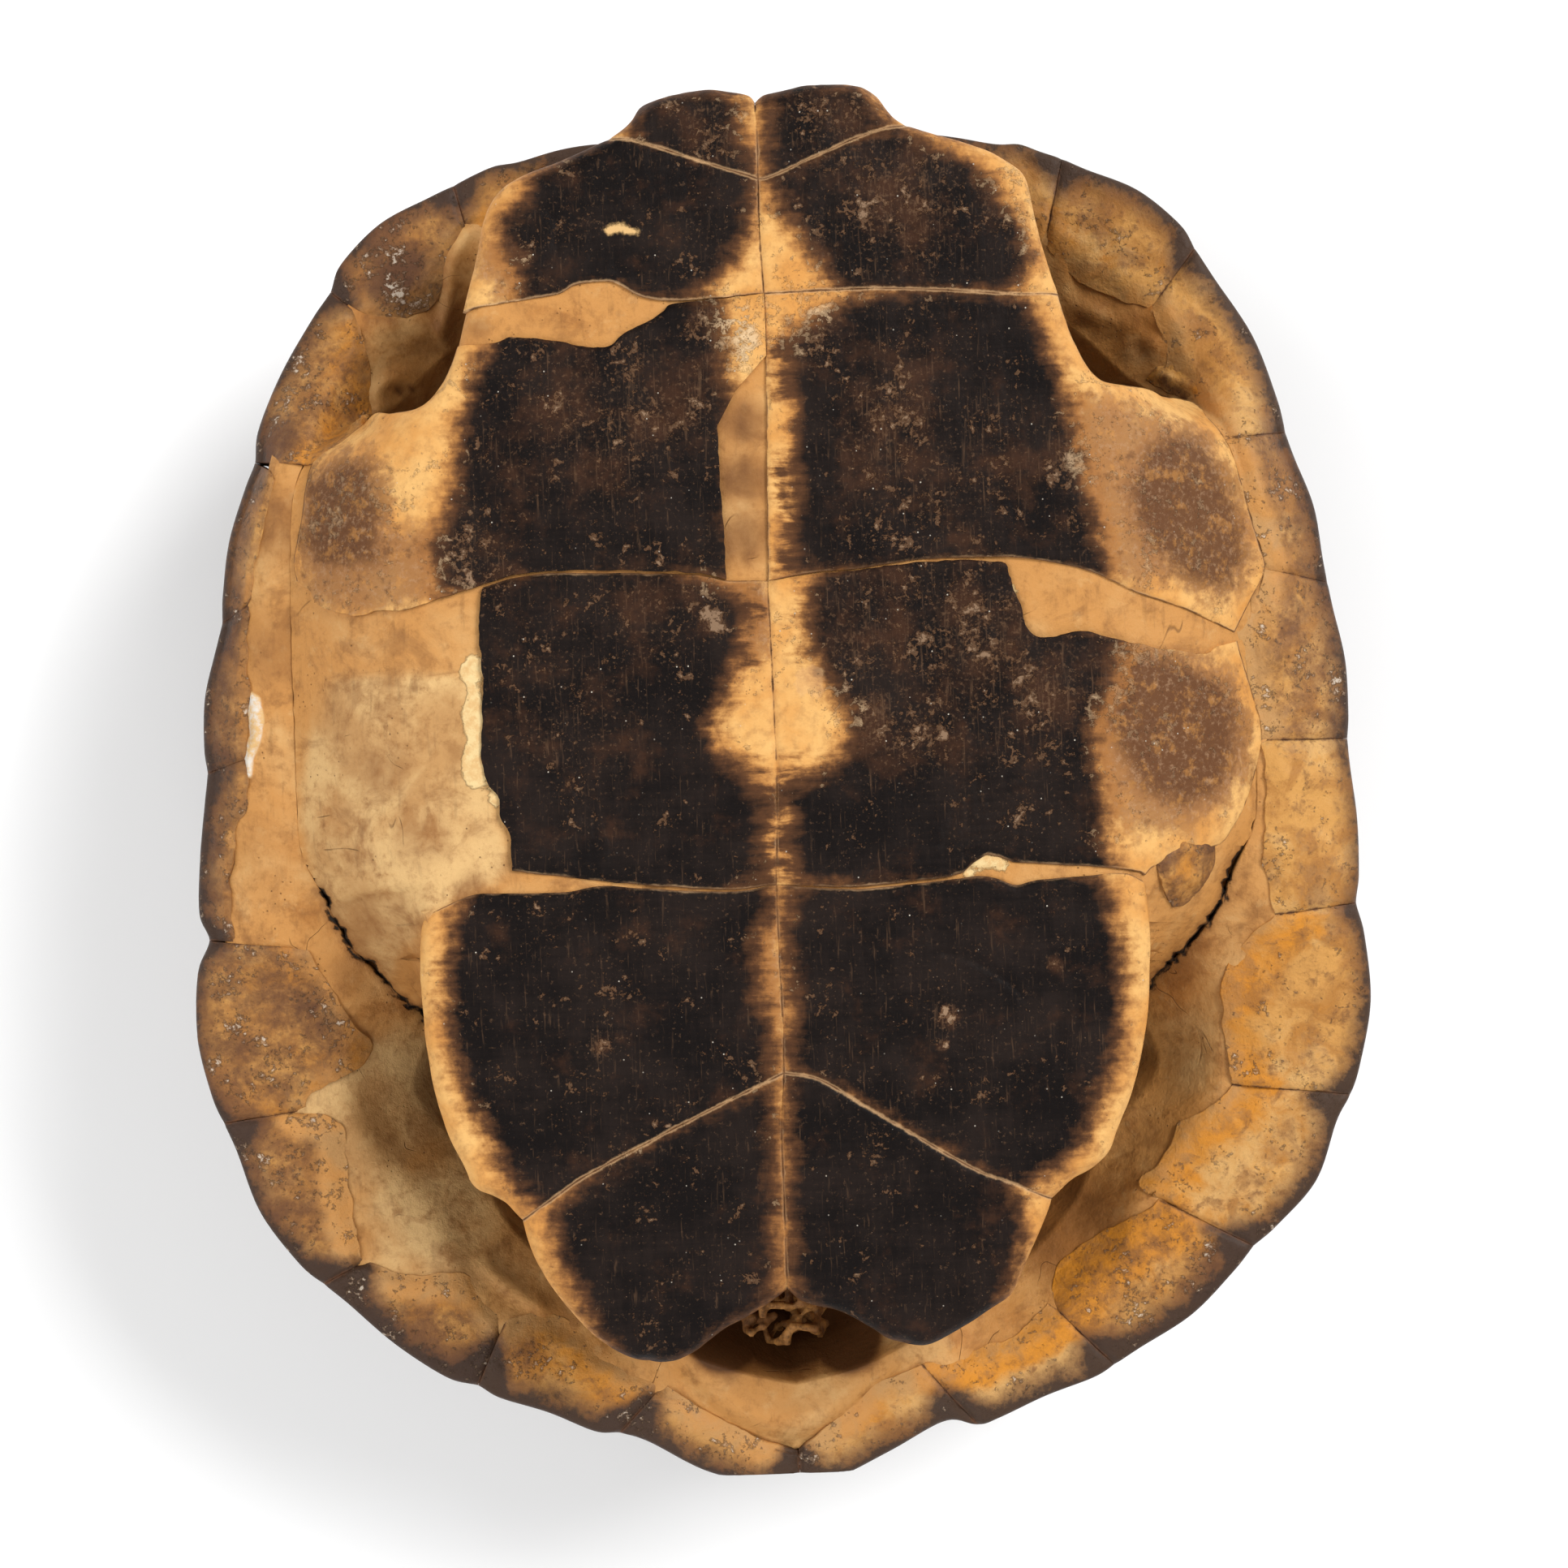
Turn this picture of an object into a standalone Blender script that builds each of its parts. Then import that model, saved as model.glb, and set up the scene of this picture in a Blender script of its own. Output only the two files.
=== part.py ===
"""An empty tortoise shell, lying on its domed back with the belly plate up.

Sizes are in millimetres and become metres where a mesh is made. X is the shell's width, +Y points to the
head opening and +Z is up. Two bones carry everything: the carapace, a bowl whose crown rests on the
ground, and the plastron, the plate that closes it. Thin horn shields (scutes) lie on both, a hair's
breadth off the bone. A number called "seat" counts the seams between rim shields, from 0 at the middle of
the head end, along one side, to 12 at the middle of the tail end.
"""

import math

import bmesh
import bpy
import numpy as np

MM = 0.001

# The rim at each rim seam: half width, place along the shell, and height over the ground.
RIM = (
    (0.0, 82.3, 41.0), (19.5, 83.0, 41.0), (39.0, 77.7, 41.5), (55.4, 65.2, 43.0), (65.6, 43.5, 45.5),
    (70.4, 23.3, 47.0), (72.7, 3.9, 47.5), (73.2, -17.1, 47.5), (71.0, -41.7, 46.5), (59.5, -61.1, 45.0),
    (40.2, -75.6, 44.0), (20.7, -81.5, 43.5), (0.0, -88.1, 43.0),
)
# How far the free edge of each rim shield bulges past the chord between its two seams.
BULGE = (0.6, 1.0, 2.3, 1.4, 1.0, 1.0, 0.7, 2.6, 2.4, 1.5, 1.1, 2.0)
# Underneath, the bone follows this line a little in from the rim: x, y, height.
SHELF = (
    (0.0, 76.0, 40.0), (20.0, 76.5, 40.0), (34.0, 71.0, 40.5), (46.0, 63.0, 41.5), (54.5, 53.0, 44.0),
    (57.0, 47.0, 48.0), (60.0, 41.5, 51.0), (61.6, 33.5, 51.8), (61.8, 0.0, 51.9), (61.4, -8.0, 51.7),
    (62.0, -18.5, 50.0), (57.0, -24.0, 47.5), (55.6, -34.0, 46.0), (54.0, -42.5, 45.5), (45.5, -52.5, 44.8),
    (42.0, -62.0, 44.5), (34.0, -69.5, 44.2), (20.0, -76.0, 44.5), (9.0, -78.5, 44.5), (0.0, -82.5, 44.0),
)
# Further in it turns down into the hollow, or meets the belly plate along the bridge: x, y, height.
SHOULDER = (
    (0.0, 68.0, 36.5), (20.0, 68.0, 36.5), (33.0, 63.0, 36.5), (42.0, 56.0, 37.0), (48.0, 50.0, 39.0),
    (54.0, 46.8, 44.0), (57.6, 43.4, 49.8), (59.6, 38.0, 51.5), (60.3, 25.0, 52.0), (60.3, 5.0, 52.0),
    (60.1, -6.0, 51.8), (57.3, -12.6, 51.2), (54.8, -18.3, 49.0), (51.3, -22.6, 45.5), (45.8, -29.2, 39.0),
    (48.0, -38.0, 39.0), (41.0, -47.0, 38.5), (36.0, -56.0, 39.0), (27.0, -64.5, 41.0), (17.0, -70.5, 44.0),
    (8.0, -74.5, 45.2), (0.0, -76.5, 45.0),
)

DOME_POWER = 2.5  # the dome's height grows with this power of the distance from its crown
WORN_FLAT = 0.25  # depth worn off the crown, which leaves the flat that the shell rests on
RIM_TOP = 0.835  # where the rim shields end on the dome, as a share of the way from crown to rim

BELLY = 62.6  # height of the belly bone in the middle
FRONT_DROP = 2.6  # how far the front lobe bends down to the gular edge
FRONT_BEND = (50.0, 36.0)  # where that bend starts, and how long it is
REAR_DROP = 1.4
REAR_BEND = (25.0, 45.0)
WING_START = 40.0  # the bridge wings bend down from this half width
WING_POWER = 1.9
WING_FRONT = 48.0
LOBE_CORNER = 45.1  # half width of the rear lobe beside its buttress
BUTTRESS = (-13.0, -29.5)  # the inguinal buttress runs between these places along the shell
BUTTRESS_RISE = 2.0  # its foot at the lobe stands this much over the joint

CARAPACE_BONE = 2.7
PLASTRON_BONE = 3.2
BRIDGE_BONE = 4.0
HORN = 0.8  # thickness of a shield
BED = 0.5  # gap between a shield and the bone below it
SLACK = 0.15  # a little more of that gap where both surfaces have coarse facets
SEAM = 0.2  # half of the gap between two shields
JOINT_GAP = 0.7  # gap between the two bones

# The belly plate row by row from the gular edge to the anal tips: place along the shell, half width.
PLATE_EDGE = (
    (84.8, 15.0), (81.0, 18.4), (78.4, 24.8), (75.6, 30.8), (72.0, 33.9), (66.5, 34.8), (59.5, 36.7),
    (54.5, 38.3), (50.6, 40.1), (48.3, 43.6), (46.8, 50.0), (43.4, 53.6),
    (38.0, 58.2), (24.0, None), (8.0, None), (-6.0, None), (-12.6, None),
    (-15.5, None), (-20.5, None), (-25.0, None), (-29.2, None),
    (-37.0, 43.4), (-44.5, 40.9), (-47.5, 39.4), (-49.6, 36.9), (-52.5, 33.1),
    (-56.0, 31.7), (-60.0, 29.9), (-64.0, 27.3), (-67.6, 22.9), (-70.0, 18.4),
)
# How the first and last rows leave a straight line, from the middle (0) to the plate's edge (1).
GULAR_SHAPE = ((0.0, -0.3), (0.15, 1.0), (0.46, 1.8), (0.8, 1.3), (1.0, 0.0))
ANAL_SHAPE = ((0.0, 7.4), (0.16, 5.4), (0.33, 4.1), (0.52, 2.1), (0.68, 0.1), (0.82, -0.6), (1.0, 0.0))
GULAR_FADE = 66.0  # the rows are straight from here to the next value
ANAL_FADE = -44.0
PLATE_COLUMNS = 4  # columns of faces between the plate's middle and its edge strip
STRIP_SHARES = (0.08, 0.5, 1.0)  # where the columns of the edge strip stand
EDGE_STRIP = 1.4
EDGE_ROUND = 0.9
WING_SINK = 0.5  # the wings lie this much deeper, clear of the facets of the shields on them
AXILLARY_BUTTRESS = 41.0  # the buttress behind the front leg starts here and runs forwards
BUTTRESS_DEPTH = 12.0
BUTTRESS_TAPER = 1.2  # how fast a buttress deepens inwards from the joint

# Seams on the belly, from the middle to the side, and the outer edges of its shields.
GULAR_EDGE = ((0.0, 84.6), (2.3, 85.7), (7.0, 86.5), (12.0, 86.0), (15.0, 84.8))
GULAR_SIDE = ((15.0, 84.8), (16.3, 82.5), (18.4, 80.9))
GULAR_HUMERAL = ((0.0, 74.9), (8.0, 77.7), (15.0, 80.2), (18.4, 80.9))
HUMERAL_SIDE = ((18.4, 80.9), (24.8, 78.2), (30.8, 75.4), (33.9, 72.0), (34.8, 66.5), (36.7, 59.5))
HUMERAL_PECTORAL = ((0.0, 60.4), (12.0, 60.7), (22.0, 60.6), (30.0, 60.1), (36.7, 59.5))
PECTORAL_SIDE = (
    (36.7, 59.5), (38.3, 54.5), (40.1, 50.6), (43.6, 48.1), (49.6, 47.0), (53.8, 45.0), (57.6, 41.5),
    (60.0, 34.0), (61.0, 25.5), (57.5, 17.0),
)
PECTORAL_ABDOMINAL = (
    (0.0, 25.1), (11.0, 26.4), (24.5, 27.1), (31.0, 26.9), (39.0, 25.0), (45.0, 22.5), (51.2, 19.7),
    (57.5, 17.0),
)
ABDOMINAL_SIDE = (
    (57.5, 17.0), (59.4, 12.0), (60.8, 5.0), (60.0, -1.5), (57.0, -6.0), (51.5, -8.6), (46.0, -9.0),
    (44.8, -13.6),
)
ABDOMINAL_FEMORAL = ((0.0, -12.3), (9.0, -12.9), (17.0, -12.2), (26.0, -10.9), (39.0, -11.8), (44.8, -13.6))
FEMORAL_SIDE = (
    (44.8, -13.6), (45.0, -21.0), (44.7, -29.0), (43.8, -35.0), (42.6, -40.0), (40.9, -44.5), (39.4, -47.5),
    (36.9, -49.6), (33.1, -52.5),
)
FEMORAL_ANAL_LEFT = ((0.0, -36.8), (11.0, -40.6), (18.5, -44.2), (26.0, -48.0), (33.1, -52.5))
FEMORAL_ANAL_RIGHT = ((0.0, -34.0), (9.5, -40.2), (16.0, -44.0), (24.0, -48.6), (33.1, -52.5))
ANAL_SIDE = ((33.1, -52.5), (31.7, -56.0), (29.9, -60.0), (27.3, -64.0), (22.9, -67.6), (18.4, -70.0))
ANAL_EDGE = ((0.0, -62.6), (3.0, -64.6), (6.0, -65.9), (9.5, -67.9), (14.8, -70.6), (18.4, -70.0))

# Broken edges, where a piece of horn is gone and the bone lies bare. The half widths are those of the side
# that has the break.
PECTORAL_LEFT_FRONT = (
    (0.0, 60.4), (11.0, 59.9), (12.6, 57.9), (19.5, 53.8), (26.0, 54.6), (33.5, 55.0), (38.3, 55.2),
)
PECTORAL_LEFT_SIDE = (
    (38.3, 55.2), (40.1, 50.6), (43.6, 48.1), (49.6, 47.0), (53.8, 45.0), (57.6, 41.5), (60.0, 34.0),
    (61.0, 25.5), (57.8, 21.8), (44.5, 22.9),
)
PECTORAL_LEFT_REAR = ((0.0, 25.1), (11.0, 26.4), (24.5, 27.1), (31.0, 26.9), (36.5, 25.4), (44.5, 22.9))
ABDOMINAL_LEFT_FRONT = ((0.0, 25.1), (9.5, 26.4), (24.5, 27.1), (30.5, 26.9), (35.3, 25.6))
ABDOMINAL_LEFT_SIDE = ((35.3, 25.6), (35.2, 13.4), (34.7, 2.6), (32.6, -3.9), (30.9, -10.4))
ABDOMINAL_LEFT_REAR = ((0.0, -12.3), (9.0, -12.9), (17.0, -12.2), (25.0, -10.9), (30.9, -10.4))
ABDOMINAL_RIGHT_FRONT = (
    (0.0, 25.1), (11.0, 26.4), (24.5, 27.1), (31.2, 24.0), (35.0, 19.3), (44.0, 17.4), (54.0, 15.6),
    (58.3, 15.2),
)
INGUINAL = ((46.4, -9.4), (54.6, -8.6), (52.4, -15.2), (49.0, -17.0))
AXILLARY = ((49.2, 50.4), (52.2, 52.2), (56.8, 47.8), (54.8, 47.2))

# Seams on the dome, as places along the shell and half widths of the vertebral shields: where two
# vertebrals meet, and where one reaches out between two costals.
VERTEBRAL_SEAMS = ((45.0, 14.0), (17.0, 13.0), (-13.0, 12.5), (-42.0, 9.0))
COSTAL_TIPS = ((31.0, 20.0), (2.0, 21.0), (-27.0, 19.0))
COSTAL_SEATS = (1.5, 4.5, 6.45, 8.45, 10.6)  # the rim seats where the costal seams reach the rim shields

# How far the rim shields reach in underneath, as a share of the way from the rim to the bridge or shelf.
LEFT_REACH = {5: 0.42, 6: 0.34, 7: 0.36}
RIGHT_REACH = {5: 0.88}
FULL_REACH = 0.95
MARGINAL_COLUMNS = 2
BONE_COLUMNS = 48  # two for each rim shield
CENTRE_SHIFT = 0.765  # moves the middle of the shell's length onto the origin
DOME_SHARES = (0.18, 0.35, 0.51, 0.65, 0.77, 0.86, 0.93)

TIP = (3.2, 1.4)  # the bone's edge lies this far in from the rim and this far under it
SHELF_START = 4.5
WALL_FROM, WALL_TO = -33.0, 38.0  # angles between which the bowl has an upright wall under the bridge
WALL_DEPTH = 6.0

SPONGE_CENTRE = (-1.5, -66.0)
SPONGE_SIZE = (6.0, 6.0, 2.6)
SPONGE_GAP = 0.5

HORN_DARK = (0.028, 0.020, 0.016)
HORN_AMBER = (0.42, 0.22, 0.075)
HORN_BACK = (0.13, 0.075, 0.035)
BONE_BEIGE = (0.62, 0.43, 0.23)


def angle_of(x, y):
    """Angle of a plan point, from -90 degrees at the tail to 90 at the head, the same on both sides."""
    return math.atan2(y, abs(x))


def rim_point(seat, side=1):
    """The rim at a seat, on the right (side 1) or the left (-1)."""
    number = min(int(seat), len(BULGE) - 1)
    share = seat - number
    start = np.array(RIM[number])
    end = np.array(RIM[number + 1])
    chord = end - start
    outward = np.array((-chord[1], chord[0], 0.0)) / math.hypot(chord[0], chord[1])
    point = start + share * chord + BULGE[number] * 4 * share * (1 - share) * outward
    return point * (side, 1, 1)


def polar_table(points):
    """Angles, distances from the middle and heights along a line, in rising order of angle."""
    rows = sorted((angle_of(x, y), math.hypot(x, y), z) for x, y, z in points)
    return np.array(rows).T


RIM_TABLE = polar_table([rim_point(seat) for seat in np.linspace(0, 12, 97)])
SHELF_TABLE = polar_table(SHELF)
SHOULDER_TABLE = polar_table(SHOULDER)


def polar(table, angle):
    """Distance and height of a line at an angle."""
    return float(np.interp(angle, table[0], table[1])), float(np.interp(angle, table[0], table[2]))


def dome_height(x, y):
    """Height of the outside of the domed back, which hangs under the rim."""
    reach, height = polar(RIM_TABLE, angle_of(x, y))
    share = math.hypot(x, y) / reach
    return max(0.0, height * share**DOME_POWER - WORN_FLAT)


def joint_line(y):
    """Half width and height of the suture between the two bones, along the bridge."""
    line = [point for point in SHOULDER if BUTTRESS[1] < point[1] < WING_FRONT]
    places = [point[1] for point in reversed(line)]
    width = np.interp(y, places, [point[0] for point in reversed(line)])
    height = np.interp(y, places, [point[2] for point in reversed(line)])
    return float(width), float(height)


def rim_height(x, y):
    """Height of the carapace's underside, from the shoulder out to the rim."""
    angle = angle_of(x, y)
    distance = math.hypot(x, y)
    shoulder, shoulder_z = polar(SHOULDER_TABLE, angle)
    shelf, shelf_z = polar(SHELF_TABLE, angle)
    reach, rim_z = polar(RIM_TABLE, angle)
    if distance < shelf:
        return shoulder_z + (shelf_z - shoulder_z) * (distance - shoulder) / (shelf - shoulder)
    share = (distance - shelf) / (reach - shelf)
    return shelf_z + (rim_z - 0.9 - shelf_z) * share**1.6


def lobe_height(_, y):
    """Height of the belly bone on its two free lobes and along its middle."""
    front = max(0.0, (y - FRONT_BEND[0]) / FRONT_BEND[1])
    rear = max(0.0, (-y - REAR_BEND[0]) / REAR_BEND[1])
    return BELLY - FRONT_DROP * front**2 - REAR_DROP * rear**2


def belly_height(x, y):
    """Height of the belly bone with its bridge wings and rear buttresses, and past the joint, of the rim."""
    half = abs(x)
    flat = lobe_height(x, y)
    if half <= WING_START or not BUTTRESS[1] < y < WING_FRONT:
        return flat
    joint, joint_z = joint_line(y)
    if half > joint:
        return rim_height(x, y)
    top = flat
    if y < BUTTRESS[0]:
        if half <= LOBE_CORNER:
            return flat
        top += (joint_z + BUTTRESS_RISE - flat) * (BUTTRESS[0] - y) / (BUTTRESS[0] - BUTTRESS[1])
    return top + (joint_z - top) * ((half - WING_START) / (joint - WING_START)) ** WING_POWER


def rim_bed(x, y):
    """Height of the bone under a rim shield, which can reach over the joint onto the bridge wing."""
    inside = math.hypot(x, y) < polar(SHOULDER_TABLE, angle_of(x, y))[0]
    return belly_height(x, y) if inside else rim_height(x, y)


def lifted(surface, x, y, lift):
    """A point over a plan point, raised off a height surface along its normal."""
    step = 0.5
    slope_x = (surface(x + step, y) - surface(x - step, y)) / (2 * step)
    slope_y = (surface(x, y + step) - surface(x, y - step)) / (2 * step)
    normal = np.array((-slope_x, -slope_y, 1.0))
    normal /= np.linalg.norm(normal)
    return np.array((x, y, surface(x, y))) + lift * normal


def bare_collection(name):
    collection = bpy.data.collections.new(name)
    bpy.context.scene.collection.children.link(collection)
    return collection


def finish(name, colour, roughness):
    """A plain material with one colour and roughness."""
    material = bpy.data.materials.get(name)
    if material is None:
        material = bpy.data.materials.new(name)
        material.use_nodes = True
        shader = material.node_tree.nodes["Principled BSDF"]
        shader.inputs["Base Color"].default_value = (*colour, 1.0)
        shader.inputs["Roughness"].default_value = roughness
        shader.inputs["Metallic"].default_value = 0.0
    return material


def add_object(collection, name, mesh_data, material):
    """Wraps a bmesh, given in millimetres, as a smooth-shaded object in metres."""
    bmesh.ops.translate(mesh_data, vec=(0.0, CENTRE_SHIFT, 0.0), verts=mesh_data.verts)
    bmesh.ops.scale(mesh_data, vec=(MM, MM, MM), verts=mesh_data.verts)
    mesh = bpy.data.meshes.new(name)
    mesh_data.to_mesh(mesh)
    mesh_data.free()
    mesh.materials.append(material)
    mesh.shade_smooth()
    mesh.set_sharp_from_angle(angle=math.radians(40))
    thing = bpy.data.objects.new(name, mesh)
    collection.objects.link(thing)
    return thing


def faced_out(mesh_data):
    """Turns the faces of a closed body outwards."""
    bmesh.ops.recalc_face_normals(mesh_data, faces=mesh_data.faces)
    if mesh_data.calc_volume(signed=True) < 0:
        bmesh.ops.reverse_faces(mesh_data, faces=mesh_data.faces)
    return mesh_data


def shaped_grid(points):
    """A grid whose vertices are moved onto an array of points, rows by columns."""
    rows, columns = points.shape[:2]
    mesh_data = bmesh.new()
    bmesh.ops.create_grid(mesh_data, x_segments=columns - 1, y_segments=rows - 1, size=1.0)
    for vertex in mesh_data.verts:
        column = round((vertex.co.x + 1) / 2 * (columns - 1))
        row = round((vertex.co.y + 1) / 2 * (rows - 1))
        vertex.co = points[row, column]
    return mesh_data


def resampled(line, count):
    """A line cut into a number of even pieces, with its own corners kept where they fit."""
    line = np.array(line, float)
    steps = np.linalg.norm(np.diff(line, axis=0), axis=1)
    along = np.concatenate(([0.0], np.cumsum(steps)))
    marks = np.linspace(0, along[-1], count + 1)
    for corner in along[1:-1]:
        nearest = 1 + int(np.argmin(np.abs(marks[1:-1] - corner)))
        marks[nearest] = corner
    marks = np.sort(marks)
    return np.stack([np.interp(marks, along, line[:, axis]) for axis in range(line.shape[1])], axis=1)


def plan_patch(head, tail, middle, side, rows, columns):
    """Plan points of a four-sided shield, blended from its four edges, and drawn in by half a seam."""
    top = resampled(head, columns)
    bottom = resampled(tail, columns)
    left = resampled(middle, rows)
    right = resampled(side, rows)
    across = np.linspace(0, 1, columns + 1)[None, :, None]
    down = np.linspace(0, 1, rows + 1)[:, None, None]
    ruled = (1 - down) * top[None] + down * bottom[None]
    ruled = ruled + (1 - across) * left[:, None] + across * right[:, None]
    corners = (
        (1 - down) * (1 - across) * top[0] + (1 - down) * across * top[-1]
        + down * (1 - across) * bottom[0] + down * across * bottom[-1]
    )
    return drawn_in(ruled - corners)


def drawn_in(plan):
    """Moves the edge points of a patch inwards by half a seam."""
    inner = plan.copy()
    for edge, neighbour in ((0, 1), (-1, -2)):
        for view, source in ((inner, plan), (inner.swapaxes(0, 1), plan.swapaxes(0, 1))):
            step = source[neighbour] - source[edge]
            length = np.linalg.norm(step, axis=1, keepdims=True)
            view[edge] += step / length * SEAM
    return inner


def mirrored(line, side):
    return [(side * x, y) for x, y in line]


def solidified(thing, thickness):
    """Gives an open shield its thickness, on the side away from its outer face."""
    shell = thing.modifiers.new("Thickness", "SOLIDIFY")
    shell.thickness = thickness * MM
    shell.offset = -1.0
    return thing


def faced_up(mesh_data, upwards):
    """Turns the open sheet so that its faces look up, or down."""
    mesh_data.normal_update()
    total = sum(face.normal.z * face.calc_area() for face in mesh_data.faces)
    if (total > 0) != upwards:
        bmesh.ops.reverse_faces(mesh_data, faces=mesh_data.faces)
    return mesh_data


def belly_shield(collection, name, surface, lines, rows, columns, side, material, bed=BED):
    """A horn shield lying on a bone surface, between its head, tail, middle and side lines."""
    plan = plan_patch(*(mirrored(line, side) for line in lines), rows, columns)
    points = np.array([[lifted(surface, x, y, bed + HORN) for x, y in row] for row in plan])
    sheet = faced_up(shaped_grid(points), upwards=True)
    return solidified(add_object(collection, name, sheet, material), HORN)


def dome_shield(collection, name, edges, rows, columns, material):
    """A horn shield on the dome, between four edges in plan: head, tail, middle and side."""
    plan = plan_patch(*edges, rows, columns)
    points = np.array([[(x, y, dome_height(x, y)) for x, y in row] for row in plan])
    sheet = faced_up(shaped_grid(points), upwards=False)
    return solidified(add_object(collection, name, sheet, material), HORN)


def rim_seam_point(seat, side):
    """Plan point where the rim shields end on the dome."""
    return tuple((rim_point(seat, side) * RIM_TOP)[:2])


def rim_seam(first, last, side, count=8):
    return [rim_seam_point(seat, side) for seat in np.linspace(first, last, count + 1)]


def under_edge(seat, side, reach):
    """Plan point where a rim shield ends underneath."""
    rim = rim_point(seat, 1)
    angle = angle_of(rim[0], rim[1])
    distance = math.hypot(rim[0], rim[1])
    inner = bridge_or_shelf(angle)
    end = distance + (inner - distance) * reach
    return side * math.cos(angle) * end, math.sin(angle) * end


def bridge_or_shelf(angle):
    """Distance of the bridge seam where there is one, and of the shelf elsewhere."""
    seam = [point for point in PECTORAL_SIDE[5:] + ABDOMINAL_SIDE[1:4]]
    angles = [angle_of(*point) for point in reversed(seam)]
    if angles[0] <= angle <= angles[-1]:
        return float(np.interp(angle, angles, [math.hypot(*point) for point in reversed(seam)]))
    return polar(SHELF_TABLE, angle)[0]


def marginal_rows(seat, side, reach):
    """Points across a rim shield at one seat: down the dome, over the rim and in underneath."""
    rim = rim_point(seat, side)
    points = []
    for share in (RIM_TOP + 0.004, 0.92):
        x, y = rim[:2] * share
        points.append((x, y, dome_height(x, y)))
    points.append(rim)
    end = np.array(under_edge(seat, side, reach))
    for share in (0.4, 0.7, 1.0):
        x, y = rim[:2] + (end - rim[:2]) * share
        points.append(lifted(rim_bed, x, y, BED + HORN + SLACK))
    return points


def marginal(collection, name, first, last, side, reach, material):
    """A rim shield, folded over the edge between two seats."""
    gap = SEAM / 20.0
    seats = np.linspace(first + gap, last - gap, MARGINAL_COLUMNS + 1)
    points = np.array([marginal_rows(seat, side, reach) for seat in seats])
    sheet = shaped_grid(points)
    sheet.normal_update()
    outward = sum(face.normal.dot(face.calc_center_median() * face.calc_area()) for face in sheet.faces)
    if outward < 0:
        bmesh.ops.reverse_faces(sheet, faces=sheet.faces)
    return solidified(add_object(collection, name, sheet, material), HORN)


def carapace_section(angle, side):
    """Points of the bowl at one angle, from the crown's outside round the rim to the crown's inside."""
    reach, rim_z = polar(RIM_TABLE, angle)
    shelf, shelf_z = polar(SHELF_TABLE, angle)
    shoulder, shoulder_z = polar(SHOULDER_TABLE, angle)
    along = np.array((side * math.cos(angle), math.sin(angle)))
    points = [lifted(dome_height, *(along * reach * share), HORN + BED + SLACK) for share in DOME_SHARES]
    points.append((*(along * (reach - TIP[0])), rim_z - TIP[1]))
    for distance in (reach - SHELF_START, (reach + shelf) / 2, shelf):
        x, y = along * distance
        points.append((x, y, rim_height(x, y)))
    points.append((*(along * shoulder), shoulder_z))
    inside = HORN + BED + CARAPACE_BONE
    inner = [lifted(dome_height, *(along * reach * share), inside) for share in reversed(DOME_SHARES[:4])]
    if math.radians(WALL_FROM) < angle < math.radians(WALL_TO):
        points.append((*(along * shoulder), shoulder_z - WALL_DEPTH))
    else:
        points.append((np.array(points[-1]) + inner[0]) / 2)
    return points + inner


def inside_height(x, y):
    """Height of the bowl's inner face over a plan point."""
    section = carapace_section(angle_of(x, y), 1)[len(DOME_SHARES) + 4 :]
    distances = [math.hypot(point[0], point[1]) for point in reversed(section)]
    return float(np.interp(math.hypot(x, y), distances, [point[2] for point in reversed(section)]))


def add_carapace(collection, material):
    """The bowl of bone: a sphere pressed in until its top half lines its bottom half."""
    seats = np.linspace(0, 12, BONE_COLUMNS // 2 + 1)
    right = [angle_of(*rim_point(seat)[:2]) for seat in seats]
    columns = [(angle, 1) for angle in right[:-1]] + [(angle, -1) for angle in reversed(right[1:])]
    sections = [carapace_section(angle, side) for angle, side in columns]
    rings = len(sections[0])
    mesh_data = bmesh.new()
    bmesh.ops.create_uvsphere(mesh_data, u_segments=BONE_COLUMNS, v_segments=rings + 1, radius=1.0)
    for vertex in mesh_data.verts:
        polar_angle = math.acos(max(-1.0, min(1.0, vertex.co.z)))
        ring = round(polar_angle / math.pi * (rings + 1))
        if ring == 0:
            vertex.co = (0, 0, HORN + BED + SLACK)
        elif ring == rings + 1:
            vertex.co = (0, 0, HORN + BED + CARAPACE_BONE)
        else:
            turn = math.atan2(vertex.co.y, vertex.co.x) % (2 * math.pi)
            column = round(turn / (2 * math.pi) * BONE_COLUMNS) % BONE_COLUMNS
            vertex.co = sections[column][ring - 1]
    return add_object(collection, "carapace_bone", faced_out(mesh_data), material)


def plate_rows():
    """The belly plate's rows: place, half width of the plate proper, and half width with its wing."""
    rows = []
    for y, half in PLATE_EDGE:
        if half is not None:
            rows.append((y, half - EDGE_STRIP, half))
            continue
        wing = joint_line(y)[0] - JOINT_GAP
        rows.append((y, min(LOBE_CORNER, wing - EDGE_STRIP), wing))
    return rows


def plate_point(y, inner, outer, column):
    """Plan point of the belly plate, for a signed column counted from its middle."""
    number = abs(column)
    side = 1 if column >= 0 else -1
    if number <= PLATE_COLUMNS:
        half = inner * number / PLATE_COLUMNS
    else:
        half = inner + (outer - inner) * STRIP_SHARES[number - PLATE_COLUMNS - 1]
    share = half / outer
    front = max(0.0, (y - GULAR_FADE) / (PLATE_EDGE[0][0] - GULAR_FADE))
    rear = max(0.0, (ANAL_FADE - y) / (ANAL_FADE - PLATE_EDGE[-1][0]))
    bend = front * np.interp(share, *zip(*GULAR_SHAPE)) + rear * np.interp(share, *zip(*ANAL_SHAPE))
    return side * half, y + bend


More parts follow.
